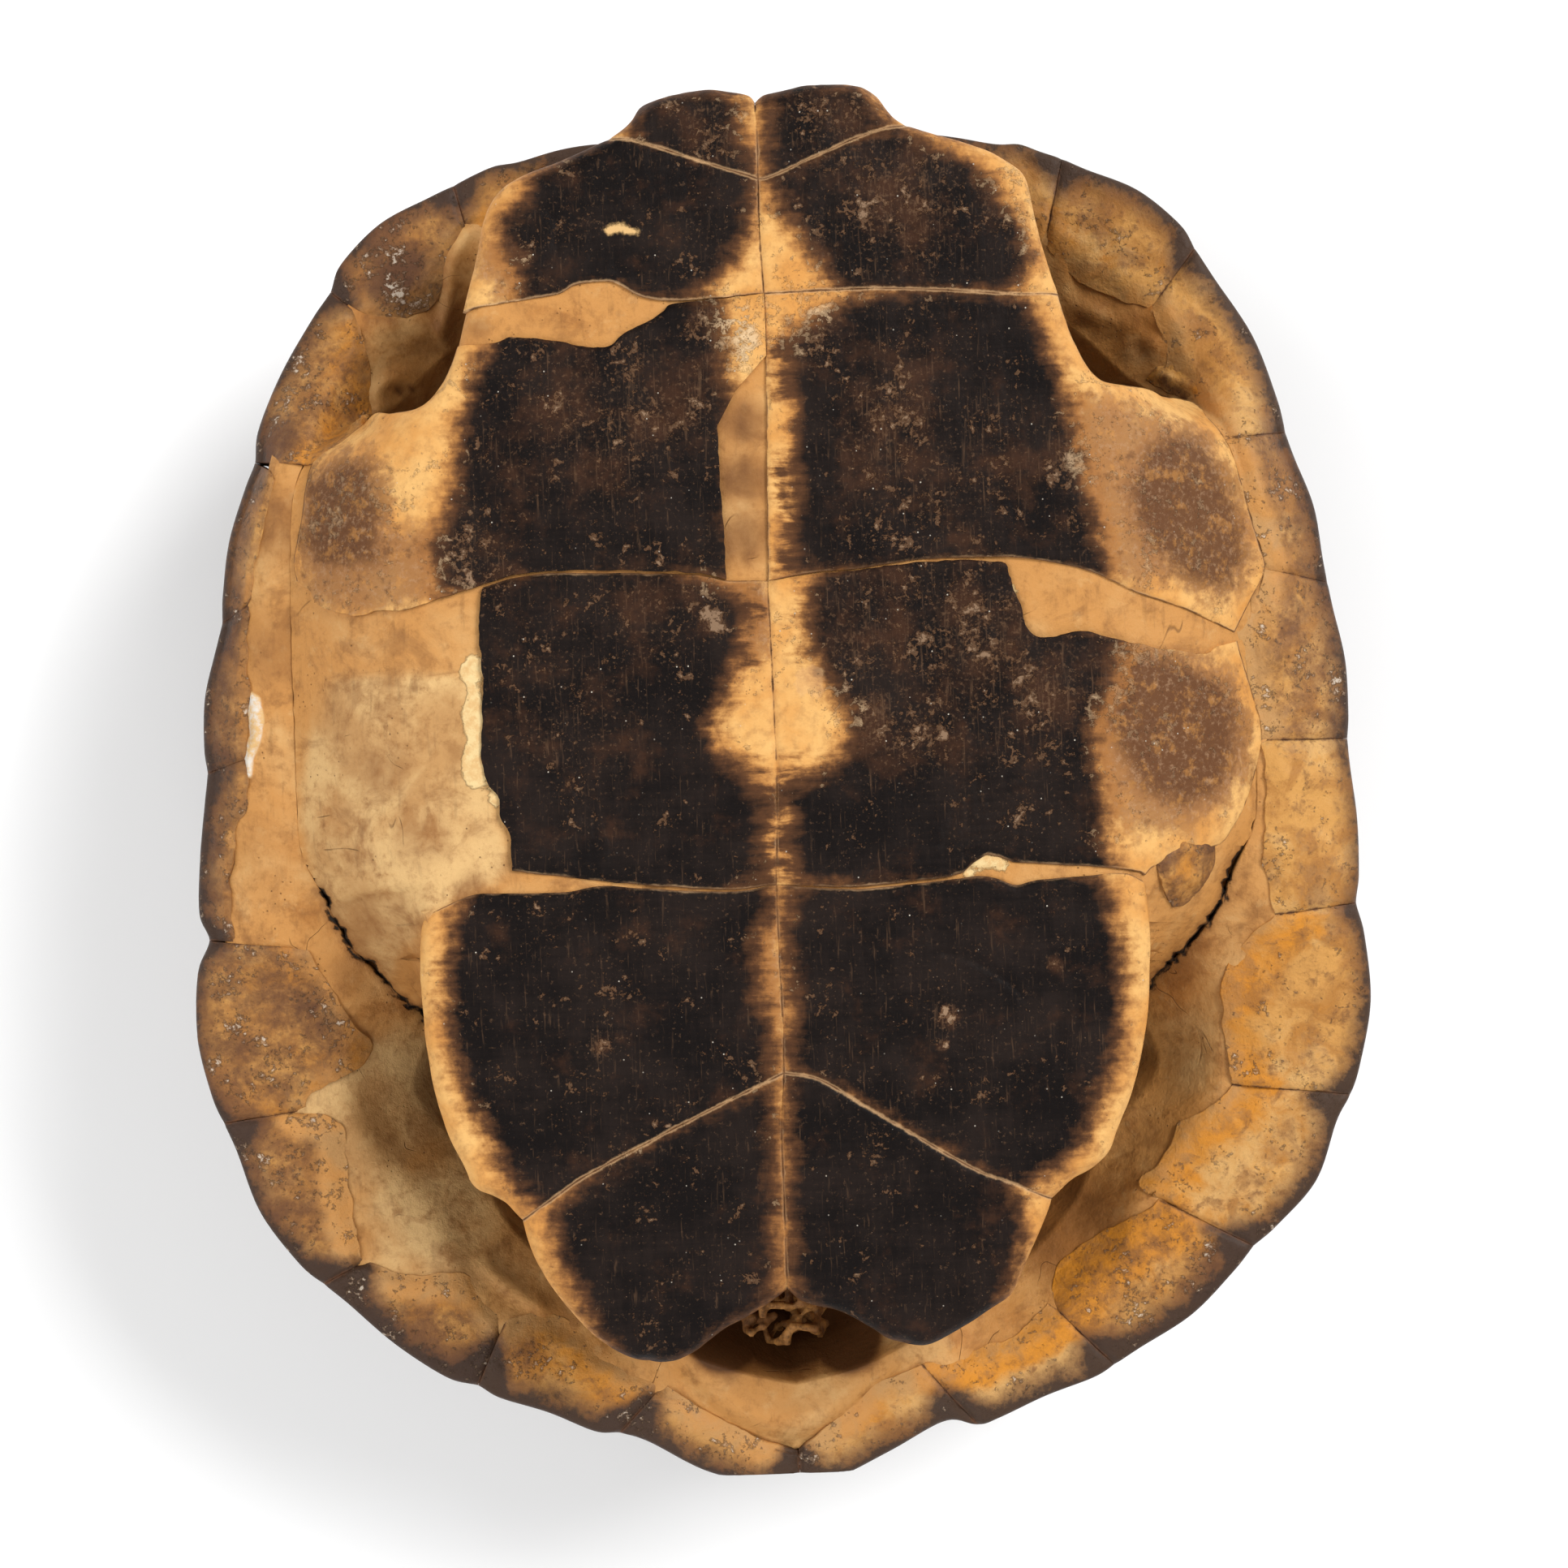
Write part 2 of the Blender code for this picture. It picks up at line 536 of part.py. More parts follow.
def plate_depth(x, y):
    """Thickness of the belly bone, which grows into a buttress at each end of the bridge."""
    if abs(x) < WING_START + 3 or not BUTTRESS[1] < y < WING_FRONT:
        return PLASTRON_BONE
    if y > AXILLARY_BUTTRESS or y < BUTTRESS[0]:
        return min(BUTTRESS_DEPTH, PLASTRON_BONE + BUTTRESS_TAPER * (joint_line(y)[0] - abs(x)))
    return BRIDGE_BONE


def add_plastron(collection, material):
    """The belly plate: a grid in the shape of its upper face, extruded down by its thickness."""
    rows = plate_rows()
    last = PLATE_COLUMNS + len(STRIP_SHARES)
    columns = range(-last, last + 1)
    top = np.zeros((len(rows), len(columns), 3))
    for row, (y, inner, outer) in enumerate(rows):
        for column in columns:
            x, place = plate_point(y, inner, outer, column)
            height = belly_height(x, place)
            if abs(column) == last and outer - inner < EDGE_STRIP + 0.1:
                height -= EDGE_ROUND
            elif abs(x) > WING_START - 3 and BUTTRESS[1] < place < WING_FRONT + 1:
                height -= WING_SINK
            top[row, column + last] = (x, place, height)
    mesh_data = faced_up(shaped_grid(top), upwards=True)
    extruded = bmesh.ops.extrude_face_region(mesh_data, geom=mesh_data.faces[:], use_keep_orig=True)
    for vertex in (item for item in extruded["geom"] if isinstance(item, bmesh.types.BMVert)):
        vertex.co.z -= plate_depth(vertex.co.x, vertex.co.y)
    return add_object(collection, "plastron_bone", faced_out(mesh_data), material)


def add_belly_shields(collection, dark, amber):
    """The twelve belly shields in pairs, then the two small ones of the right bridge."""
    middle = {
        "gular": ((0.0, 84.6), (0.0, 74.9)), "humeral": ((0.0, 74.9), (0.0, 60.4)),
        "pectoral": ((0.0, 60.4), (0.0, 25.1)), "abdominal": ((0.0, 25.1), (0.0, -12.3)),
    }
    sides = ((-1, "left", FEMORAL_ANAL_LEFT), (1, "right", FEMORAL_ANAL_RIGHT))
    for side, word, femoral_anal in sides:
        left = side < 0
        fork = femoral_anal[0]
        layout = (
            ("gular", GULAR_EDGE, GULAR_HUMERAL, middle["gular"], GULAR_SIDE, 3, 5),
            ("humeral", GULAR_HUMERAL, HUMERAL_PECTORAL, middle["humeral"], HUMERAL_SIDE, 6, 5),
            (
                "pectoral",
                PECTORAL_LEFT_FRONT if left else HUMERAL_PECTORAL,
                PECTORAL_LEFT_REAR if left else PECTORAL_ABDOMINAL,
                middle["pectoral"],
                PECTORAL_LEFT_SIDE if left else PECTORAL_SIDE,
                9,
                9,
            ),
            (
                "abdominal",
                ABDOMINAL_LEFT_FRONT if left else ABDOMINAL_RIGHT_FRONT,
                ABDOMINAL_LEFT_REAR if left else ABDOMINAL_FEMORAL,
                middle["abdominal"],
                ABDOMINAL_LEFT_SIDE if left else ((58.3, 15.2), *ABDOMINAL_SIDE[1:]),
                6,
                6 if left else 10,
            ),
            ("femoral", ABDOMINAL_FEMORAL, femoral_anal, ((0.0, -12.3), fork), FEMORAL_SIDE, 9, 5),
            ("anal", femoral_anal, ANAL_EDGE, (fork, (0.0, -62.6)), ANAL_SIDE, 6, 5),
        )
        for name, head, tail, centre, outer, rows, columns in layout:
            surface = belly_height if name in ("pectoral", "abdominal") else lobe_height
            lines = (head, tail, centre, outer)
            belly_shield(collection, f"{name}_{word}", surface, lines, rows, columns, side, dark)
    small = (
        ("inguinal_right", belly_height, INGUINAL, BED), ("axillary_right", rim_height, AXILLARY, 2 * BED),
    )
    for name, surface, (a, b, c, d), bed in small:
        belly_shield(collection, name, surface, ((a, b), (d, c), (a, d), (b, c)), 3, 3, 1, amber, bed)


def add_rim_shields(collection, material):
    """Twelve rim shields on each side, and the narrow cervical between the first two."""
    cervical_half = 0.14
    for side, word in ((1, "right"), (-1, "left")):
        for number in range(1, 13):
            first = cervical_half if number == 1 else number - 1
            reach = (LEFT_REACH if side < 0 else RIGHT_REACH).get(number, FULL_REACH)
            marginal(collection, f"marginal_{word}_{number:02d}", first, number, side, reach, material)
    gap = SEAM / 20.0
    seats = ((cervical_half - gap, -1), (0.0, 1), (cervical_half - gap, 1))
    points = np.array([marginal_rows(seat, side, FULL_REACH) for seat, side in seats])
    sheet = shaped_grid(points)
    sheet.normal_update()
    if sum(face.normal.y * face.calc_area() for face in sheet.faces) < 0:
        bmesh.ops.reverse_faces(sheet, faces=sheet.faces)
    solidified(add_object(collection, "cervical", sheet, material), HORN)


def add_vertebrals(collection, material):
    """The five shields along the middle of the back."""
    seams = [[(-half, y), (half, y)] for y, half in VERTEBRAL_SEAMS]
    first = rim_seam(COSTAL_SEATS[0], 0, -1, 4) + rim_seam(0, COSTAL_SEATS[0], 1, 4)[1:]
    final = rim_seam(COSTAL_SEATS[-1], 12, -1, 4) + rim_seam(12, COSTAL_SEATS[-1], 1, 4)[1:]
    heads = [first, *seams]
    tails = [*seams, final]
    for number in range(5):
        edges = []
        for end in (0, -1):
            tip = []
            if 0 < number < 4:
                y, half = COSTAL_TIPS[number - 1]
                tip = [(half if end else -half, y)]
            edges.append([heads[number][end], *tip, tails[number][end]])
        shape = (heads[number], tails[number], edges[0], edges[1])
        dome_shield(collection, f"vertebral_{number + 1}", shape, 4, 6, material)


def add_costals(collection, material):
    """The four shields on each flank of the back."""
    corners = [(half, y) for y, half in VERTEBRAL_SEAMS]
    tips = [(half, y) for y, half in COSTAL_TIPS]
    for side, word in ((1, "right"), (-1, "left")):
        for number in range(4):
            rim = [(side * x, y) for x, y in rim_seam(COSTAL_SEATS[number], COSTAL_SEATS[number + 1], side)]
            head = [corners[0] if number == 0 else tips[number - 1], rim[0]]
            tail = [corners[3] if number == 3 else tips[number], rim[-1]]
            inner = [head[0], tail[0]]
            if 0 < number < 3:
                inner = [head[0], corners[number], tail[0]]
            shape = [mirrored(line, side) for line in (head, tail, inner, rim)]
            cells = 6 if number == 0 else 4
            dome_shield(collection, f"costal_{word}_{number + 1}", shape, cells, 5, material)


def add_vertebra(collection, material):
    """The spongy end of the backbone, a lumpy bead over the inside of the tail end."""
    mesh_data = bmesh.new()
    bmesh.ops.create_icosphere(mesh_data, subdivisions=3, radius=1.0)
    for vertex in mesh_data.verts:
        x, y, z = vertex.co
        lump = 1 + 0.16 * math.sin(5.1 * x + 2) * math.cos(4.3 * y - 1) + 0.12 * math.sin(6.7 * z + 3 * x)
        place = [c + lump * half * u for c, half, u in zip(SPONGE_CENTRE, SPONGE_SIZE, (x, y))]
        floor = inside_height(*place) + SPONGE_GAP
        vertex.co = (*place, floor + SPONGE_SIZE[2] * (1 + z) * lump)
    return add_object(collection, "tail_vertebra", faced_out(mesh_data), material)


def main():
    for thing in list(bpy.data.objects):
        bpy.data.objects.remove(thing)
    collection = bare_collection("tortoise_shell")
    bone = finish("bone", BONE_BEIGE, 0.55)
    dark = finish("belly_horn", HORN_DARK, 0.45)
    amber = finish("rim_horn", HORN_AMBER, 0.42)
    back = finish("back_horn", HORN_BACK, 0.42)
    add_carapace(collection, bone)
    add_plastron(collection, bone)
    add_vertebra(collection, bone)
    add_belly_shields(collection, dark, amber)
    add_rim_shields(collection, amber)
    add_vertebrals(collection, back)
    add_costals(collection, back)


main()
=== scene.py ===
# %% [markdown]
# # An empty tortoise shell, lying on its back
# The shell is two bones that carry thin shields of horn: the carapace, a bowl that lies on the ground, and
# the plastron, the flat plate that closes it. The plain solids of all these pieces come in as a fixed frame.
# Each lesson below makes one kind of piece again with the detail that a camera sees, in the same place, and
# paints it with nodes. Sizes are in millimetres until a mesh is made.

import math

import bmesh
import bpy
import numpy as np
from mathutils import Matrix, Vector


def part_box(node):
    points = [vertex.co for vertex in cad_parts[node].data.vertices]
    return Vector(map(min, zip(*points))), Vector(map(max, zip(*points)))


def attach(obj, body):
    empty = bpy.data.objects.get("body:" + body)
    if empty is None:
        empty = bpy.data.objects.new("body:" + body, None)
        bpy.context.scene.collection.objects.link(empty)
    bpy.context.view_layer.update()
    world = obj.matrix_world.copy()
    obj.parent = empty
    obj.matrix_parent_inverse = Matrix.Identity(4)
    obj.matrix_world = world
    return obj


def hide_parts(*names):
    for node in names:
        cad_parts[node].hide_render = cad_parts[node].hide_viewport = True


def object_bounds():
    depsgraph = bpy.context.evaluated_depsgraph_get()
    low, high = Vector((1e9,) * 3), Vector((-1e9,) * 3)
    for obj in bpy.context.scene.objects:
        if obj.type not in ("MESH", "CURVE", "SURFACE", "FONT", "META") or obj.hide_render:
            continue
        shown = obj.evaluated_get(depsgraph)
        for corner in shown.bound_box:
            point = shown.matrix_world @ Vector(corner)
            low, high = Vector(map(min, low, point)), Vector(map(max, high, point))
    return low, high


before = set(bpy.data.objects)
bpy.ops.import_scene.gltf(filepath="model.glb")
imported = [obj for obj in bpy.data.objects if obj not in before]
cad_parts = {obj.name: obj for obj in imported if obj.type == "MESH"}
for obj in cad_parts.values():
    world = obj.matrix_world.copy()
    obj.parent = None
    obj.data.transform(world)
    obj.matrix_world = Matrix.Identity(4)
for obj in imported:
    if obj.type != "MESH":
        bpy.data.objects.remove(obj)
solid_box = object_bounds()
MM = 0.001
print("solids:", len(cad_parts), "box:", [round(v / MM, 1) for v in (solid_box[1] - solid_box[0])])

# %% [markdown]
# ## The camera, and how it reads the photo
# The photo looks straight down on the belly plate, with the camera turned a little about its own axis. A lens
# of 100 mm at 600 mm distance shows a little of the shell's depth, as the photo does. With the camera known,
# a pixel of the photo and a height give one point of the shell, and that is how the outlines below are read.

# %% Camera
PHOTO_PIXELS = 1932
LENS, SENSOR = 100.0, 36.0
CAMERA_HEIGHT = 600.0
CAMERA_TURN = math.radians(1.91)
CAMERA_ASIDE = 0.96
CENTRE_SHIFT = 0.765  # the frame's origin is this far from the point where the outlines below count from

camera = bpy.data.objects.new("camera", bpy.data.cameras.new("camera"))
bpy.context.scene.collection.objects.link(camera)
camera.data.lens = LENS
camera.data.sensor_width = SENSOR
camera.location = (CAMERA_ASIDE * MM, CENTRE_SHIFT * MM, CAMERA_HEIGHT * MM)
camera.rotation_euler = (0.0, 0.0, -CAMERA_TURN)
bpy.context.scene.camera = camera


def plan_of(pixels, height):
    """Plan points under photo pixels, on a level plane at one height or at one height for each pixel."""
    pixels = np.asarray(pixels, float)
    scale = (CAMERA_HEIGHT - height) * SENSOR / (LENS * PHOTO_PIXELS)
    right = (pixels[..., 0] - PHOTO_PIXELS / 2) * scale
    up = (PHOTO_PIXELS / 2 - pixels[..., 1]) * scale
    cosine, sine = math.cos(CAMERA_TURN), math.sin(CAMERA_TURN)
    return np.stack([cosine * right + sine * up + CAMERA_ASIDE, cosine * up - sine * right], -1)


def seen_on(surface, pixels):
    """Plan points where photo pixels meet a height surface, found by stepping towards it."""
    plan = plan_of(pixels, 55.0)
    for _ in range(5):
        plan = plan_of(pixels, surface(plan[..., 0], plan[..., 1]))
    return plan


print("width of the photo at the belly:", round(2 * plan_of((PHOTO_PIXELS, 0), 60.0)[0]), "mm")

# %% [markdown]
# ## Smooth lines and even noise
# Outlines are short lists of points, so a Catmull-Rom spline rounds them. Bone and horn are never quite
# even: a small lattice of random numbers, read with smooth steps between its points, gives every edge and
# surface its waver. The lattice is seeded, so that the shell is the same every time.

# %% Smooth lines
def spline(points, per_span=8):
    """A smooth line through points, with a few steps for each span."""
    points = np.asarray(points, float)
    before, after = 2 * points[0] - points[1], 2 * points[-1] - points[-2]
    padded = np.vstack([before, points, after])
    share = np.arange(per_span)[:, None] / per_span
    spans = []
    for a, b, c, d in zip(padded, padded[1:], padded[2:], padded[3:]):
        curve = 2 * b + (c - a) * share + (2 * a - 5 * b + 4 * c - d) * share**2
        spans.append((curve + (3 * b - a - 3 * c + d) * share**3) / 2)
    return np.vstack([*spans, points[-1:]])


def along(line):
    """Distance along a line at each of its points."""
    steps = np.linalg.norm(np.diff(line, axis=0), axis=1)
    return np.concatenate([[0.0], np.cumsum(steps)])


def at(line, places):
    """Points of a line at distances along it."""
    marks = along(line)
    return np.stack([np.interp(places, marks, line[:, axis]) for axis in range(line.shape[1])], -1)


print("three points, smoothed:", len(spline([(0, 0), (1, 1), (2, 0)])), "points")

# %% Noise, and lines made ragged with it
LATTICE = np.random.default_rng(7).uniform(-1, 1, (64, 64))


def noise(x, y, size, seed=0, octaves=1):
    """Smooth noise from -1 to 1 with bumps of about a given size, and finer ones for each octave."""
    total, weight = 0.0, 0.0
    for octave in range(octaves):
        u = x / size * 2**octave + 13.7 * seed
        v = y / size * 2**octave + 7.3 * seed
        column, row = np.floor(u).astype(int), np.floor(v).astype(int)
        s, t = u - column, v - row
        s, t = s * s * (3 - 2 * s), t * t * (3 - 2 * t)
        corner = [[LATTICE[(column + i) % 64, (row + j) % 64] for j in (0, 1)] for i in (0, 1)]
        first = corner[0][0] * (1 - s) + corner[1][0] * s
        second = corner[0][1] * (1 - s) + corner[1][1] * s
        value = first * (1 - t) + second * t
        total = total + value / 2**octave
        weight += 1 / 2**octave
    return total / weight


def ragged(line, amount, size=1.2, seed=0):
    """A line cut into short steps and pushed in and out by noise, as where horn or bone has broken."""
    marks = along(line)
    fine = at(line, np.linspace(0, marks[-1], max(8, int(marks[-1] / 0.25))))
    run = np.gradient(fine, axis=0)
    normal = np.stack([-run[:, 1], run[:, 0]], -1) / np.linalg.norm(run, axis=1)[:, None]
    push = noise(along(fine), 0 * fine[:, 0], size, seed, 3)
    push *= np.clip(np.minimum(along(fine), marks[-1] - along(fine)) / 1.0, 0, 1)
    return fine + normal * (amount * push)[:, None]


print("a 9 mm line, made ragged:", len(ragged(np.array([(0.0, 0.0), (9.0, 0.0)]), 0.2)), "points")

# %% Distances from lines and outlines
def line_distance(x, y, line):
    """Distance of many plan points from a line."""
    points = np.stack([np.ravel(x), np.ravel(y)], -1)[:, None]
    start, run = line[None, :-1], np.diff(line, axis=0)[None]
    length = np.maximum((run**2).sum(-1), 1e-12)
    share = np.clip(((points - start) * run).sum(-1) / length, 0, 1)
    nearest = start + run * share[..., None]
    return np.sqrt(((points - nearest) ** 2).sum(-1).min(1)).reshape(np.shape(x))


def inside_by(x, y, outline):
    """How far many plan points are inside a closed outline, or as a minus number outside it."""
    closed = np.vstack([outline, outline[:1]])
    distance = line_distance(x, y, closed)
    px, py = np.ravel(x)[:, None], np.ravel(y)[:, None]
    (ax, ay), (bx, by) = closed[:-1].T[:, None], closed[1:].T[:, None]
    crosses = ((ay > py) != (by > py)) & (px < (bx - ax) * (py - ay) / np.where(by == ay, 1e-9, by - ay) + ax)
    inside = (crosses.sum(1) % 2 == 1).reshape(np.shape(x))
    return np.where(inside, distance, -distance)


def step(value, low, high):
    """A smooth step from 0 at low to 1 at high."""
    share = np.clip((value - low) / (high - low), 0, 1)
    return share * share * (3 - 2 * share)

# %% [markdown]
# ## The form of the two bones
# The dome's height grows with a power of the distance from its crown. The rim, the shelf just inside it and
# the shoulder where it turns into the hollow are lines round the shell, kept as angle, distance and height.
# These are the solids' own numbers, so the fine pieces lie where the plain ones are.

# %% Lines and heights of the solids, in millimetres
RIM = (
    (0.0, 82.3, 41.0), (19.5, 83.0, 41.0), (39.0, 77.7, 41.5), (55.4, 65.2, 43.0), (65.6, 43.5, 45.5),
    (70.4, 23.3, 47.0), (72.7, 3.9, 47.5), (73.2, -17.1, 47.5), (71.0, -41.7, 46.5), (59.5, -61.1, 45.0),
    (40.2, -75.6, 44.0), (20.7, -81.5, 43.5), (0.0, -88.1, 43.0),
)
BULGE = (0.6, 1.0, 2.3, 1.4, 1.0, 1.0, 0.7, 2.6, 2.4, 1.5, 1.1, 2.0)
SHELF = (
    (0.0, 76.0, 40.0), (20.0, 76.5, 40.0), (34.0, 71.0, 40.5), (46.0, 63.0, 41.5), (54.5, 53.0, 44.0),
    (57.0, 47.0, 48.0), (60.0, 41.5, 51.0), (61.6, 33.5, 51.8), (61.8, 0.0, 51.9), (61.4, -8.0, 51.7),
    (62.0, -18.5, 50.0), (57.0, -24.0, 47.5), (55.6, -34.0, 46.0), (54.0, -42.5, 45.5), (45.5, -52.5, 44.8),
    (42.0, -62.0, 44.5), (34.0, -69.5, 44.2), (20.0, -76.0, 44.5), (9.0, -78.5, 44.5), (0.0, -82.5, 44.0),
)
SHOULDER = (
    (0.0, 68.0, 36.5), (20.0, 68.0, 36.5), (33.0, 63.0, 36.5), (42.0, 56.0, 37.0), (48.0, 50.0, 39.0),
    (54.0, 46.8, 44.0), (57.6, 43.4, 49.8), (59.6, 38.0, 51.5), (60.3, 25.0, 52.0), (60.3, 5.0, 52.0),
    (60.1, -6.0, 51.8), (57.3, -12.6, 51.2), (54.8, -18.3, 49.0), (51.3, -22.6, 45.5), (45.8, -29.2, 39.0),
    (48.0, -38.0, 39.0), (41.0, -47.0, 38.5), (36.0, -56.0, 39.0), (27.0, -64.5, 41.0), (17.0, -70.5, 44.0),
    (8.0, -74.5, 45.2), (0.0, -76.5, 45.0),
)
DOME_POWER, WORN_FLAT, RIM_TOP = 2.5, 0.25, 0.835
BELLY, FRONT_DROP, FRONT_BEND, REAR_DROP, REAR_BEND = 63.1, 2.6, (50.0, 36.0), 1.4, (25.0, 45.0)
WING_START, WING_POWER, WING_FRONT, LOBE_CORNER = 40.0, 1.9, 48.0, 45.1
BUTTRESS, BUTTRESS_RISE = (-13.0, -29.5), 2.0
HORN = 0.6  # thickness of a belly shield
EDGE_LIFT = 0.9  # the solids' own shields stand this much prouder than their bone
print("points read round one side:", len(RIM), len(SHELF), len(SHOULDER))

# %% The rim, the shelf and the shoulder, by angle
def rim_seat(seat, sign=1):
    """The rim at a seat, a count of rim shields from the head; each shield bulges out a little."""
    number = min(int(seat), len(BULGE) - 1)
    share = seat - number
    start, end = np.array(RIM[number]), np.array(RIM[number + 1])
    chord = end - start
    outward = np.array((-chord[1], chord[0], 0.0)) / np.hypot(chord[0], chord[1])
    return (start + share * chord + BULGE[number] * 4 * share * (1 - share) * outward) * (sign, 1, 1)


def table_of(points):
    """Angles, distances and heights of points round the shell, in rising order of angle."""
    points = np.array(points)
    x, y, height = points.T
    rows = np.stack([np.arctan2(y, x), np.hypot(x, y), height])
    return rows[:, np.argsort(rows[0])]


RIM_TABLE = table_of([rim_seat(seat) for seat in np.linspace(0, 12, 97)])
SHELF_TABLE, SHOULDER_TABLE = table_of(spline(SHELF, 6)), table_of(spline(SHOULDER, 6))


def polar(table, x, y):
    """Distance and height of a line at the angle of each plan point, the same on both sides."""
    angle = np.arctan2(y, np.abs(x))
    return np.interp(angle, table[0], table[1]), np.interp(angle, table[0], table[2])


print("rim at the side of the shell:", [round(float(v), 1) for v in polar(RIM_TABLE, 1.0, 0.0)])

# %% Heights of the dome, of the underside and of the belly
def dome(x, y):
    """Height of the outside of the domed back."""
    reach, height = polar(RIM_TABLE, x, y)
    return np.maximum(0.0, height * (np.hypot(x, y) / reach) ** DOME_POWER - WORN_FLAT)


def rim_under(x, y):
    """Height of the carapace's underside from the shoulder out to the rim."""
    distance = np.hypot(x, y)
    shoulder, shoulder_z = polar(SHOULDER_TABLE, x, y)
    shelf, shelf_z = polar(SHELF_TABLE, x, y)
    reach, rim_z = polar(RIM_TABLE, x, y)
    inner = shoulder_z + (shelf_z - shoulder_z) * (distance - shoulder) / np.maximum(shelf - shoulder, 0.5)
    share = np.clip((distance - shelf) / (reach - shelf), 0, 1.2)
    outer = shelf_z + (rim_z - EDGE_LIFT - shelf_z) * share**1.6
    return np.where(distance < shelf, inner, outer)


def lobe(x, y):
    """Height of the belly bone on its free lobes and along its middle."""
    front = np.maximum(0.0, (y - FRONT_BEND[0]) / FRONT_BEND[1])
    rear = np.maximum(0.0, (-y - REAR_BEND[0]) / REAR_BEND[1])
    return BELLY - FRONT_DROP * front**2 - REAR_DROP * rear**2 + 0 * x


JOINT = np.array([point for point in SHOULDER if BUTTRESS[1] < point[1] < WING_FRONT][::-1])


def bridge(x, y):
    """Height of the belly bone with its wings, and past the joint of the carapace's rim."""
    half, flat = np.abs(x), lobe(x, y)
    joint, joint_z = (np.interp(y, JOINT[:, 1], JOINT[:, axis]) for axis in (0, 2))
    drop = np.clip((BUTTRESS[0] - y) / (BUTTRESS[0] - BUTTRESS[1]), 0, 1)
    buttress = flat + (joint_z + BUTTRESS_RISE - flat) * drop
    top = np.where((y < BUTTRESS[0]) & (half > LOBE_CORNER), buttress, flat)
    share = np.clip((half - WING_START) / np.maximum(joint - WING_START, 1), 0, 1)
    wing = top + (joint_z - top) * share**WING_POWER
    wing = np.where((y < BUTTRESS[0]) & (half <= LOBE_CORNER), flat, wing)
    wing = np.where(half > joint, rim_under(x, y), wing)
    wing = wing + (flat - wing) * step(y, WING_FRONT - 1, WING_FRONT + 7)
    return np.where((half > WING_START) & (BUTTRESS[1] < y), wing, flat)

# %% Surfaces with their creases rounded
def softened(surface, reach):
    """The same surface with its creases rounded, by averaging it over a small ring of points."""
    turns = np.linspace(0, 2 * math.pi, 8, endpoint=False)
    ring = [(0.0, 0.0)] + [(r * math.cos(t), r * math.sin(t)) for r in (reach / 2, reach) for t in turns]

    def soft(x, y):
        return sum(surface(x + dx, y + dy) for dx, dy in ring) / len(ring)

    return soft


soft_rim, soft_bridge, soft_lobe = softened(rim_under, 1.6), softened(bridge, 1.0), lobe


def bed(x, y):
    """Height of the bone under a rim shield: the rim, and inside the joint the bridge wing."""
    shoulder = polar(SHOULDER_TABLE, x, y)[0]
    inner = step(shoulder - np.hypot(x, y), -0.5, 0.5)
    return soft_rim(x, y) * (1 - inner) + soft_bridge(x, y) * inner


print("height under a rim shield:", round(float(bed(np.float64(70), np.float64(0))), 1))

# %% [markdown]
# ## From points to a piece
# Every shield here is a grid: Blender makes the grid, and its vertices are moved onto computed points in one
# go, which is quick and leaves clean rows of faces. A Solidify modifier then gives the sheet its thickness.
# Numbers such as the distance to an edge are stored on the vertices, for the materials to read.

# %% Place a piece
pieces_made = []


def finished(made, name):
    """A mesh of what bmesh has made."""
    mesh = bpy.data.meshes.new(name)
    made.to_mesh(mesh)
    made.free()
    return mesh


def vertex_places(mesh):
    """The places of a mesh's vertices, a row for each."""
    flat = np.empty(len(mesh.vertices) * 3, np.float32)
    mesh.vertices.foreach_get("co", flat)
    return flat.reshape(-1, 3)


def with_fields(mesh, order, fields):
    """Stores named numbers on a mesh's vertices."""
    for name, values in fields.items():
        attribute = mesh.attributes.new(name, "FLOAT", "POINT")
        attribute.data.foreach_set("value", np.ravel(values)[order].astype(np.float32))


def placed(mesh, points, order, fields, name, nodes, material):
    """Moves a mesh's vertices onto points, and makes it a piece of the shell."""
    flat = (points.reshape(-1, 3)[order] + (0.0, CENTRE_SHIFT, 0.0)) * MM
    flat = np.clip(flat, *solid_box)
    mesh.vertices.foreach_set("co", np.ravel(flat).astype(np.float32))
    with_fields(mesh, order, fields)
    mesh.materials.append(material)
    mesh.shade_smooth()
    mesh.update()
    piece = bpy.data.objects.new(name, mesh)
    bpy.context.scene.collection.objects.link(piece)
    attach(piece, "root")
    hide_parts(*nodes)
    pieces_made.append(piece)
    return piece

# %% A sheet through rows and columns of points
def grid_piece(points, fields, name, nodes, material, thickness=0.0, up=True):
    """A sheet through rows and columns of points, facing up or down, and thickened on its other side."""
    rows, columns = points.shape[:2]
    row, column = rows // 2, columns // 2
    a, b, c = points[row, column], points[row, column + 1], points[row + 1, column]
    if (np.cross(b - a, c - a)[2] > 0) != up:
        points = points[:, ::-1]
        fields = {key: values[:, ::-1] for key, values in fields.items()}
    cells = bmesh.new()
    bmesh.ops.create_grid(cells, x_segments=columns - 1, y_segments=rows - 1, size=1.0)
    mesh = finished(cells, name)
    place = vertex_places(mesh)
    column = np.rint((place[:, 0] + 1) / 2 * (columns - 1)).astype(int)
    row = np.rint((place[:, 1] + 1) / 2 * (rows - 1)).astype(int)
    piece = placed(mesh, points, row * columns + column, fields, name, nodes, material)
    if thickness:
        shell = piece.modifiers.new("Thickness", "SOLIDIFY")
        shell.thickness = thickness * MM
        shell.offset = -1.0
    return piece

# %% [markdown]
# ## A patch between four edges
# An outline has no rows and columns of its own. A Coons patch makes them: it blends the head edge into the
# tail edge and the middle edge into the side edge. The rows lie closer together at the edges, because horn
# and bone are rounded there and need more points.

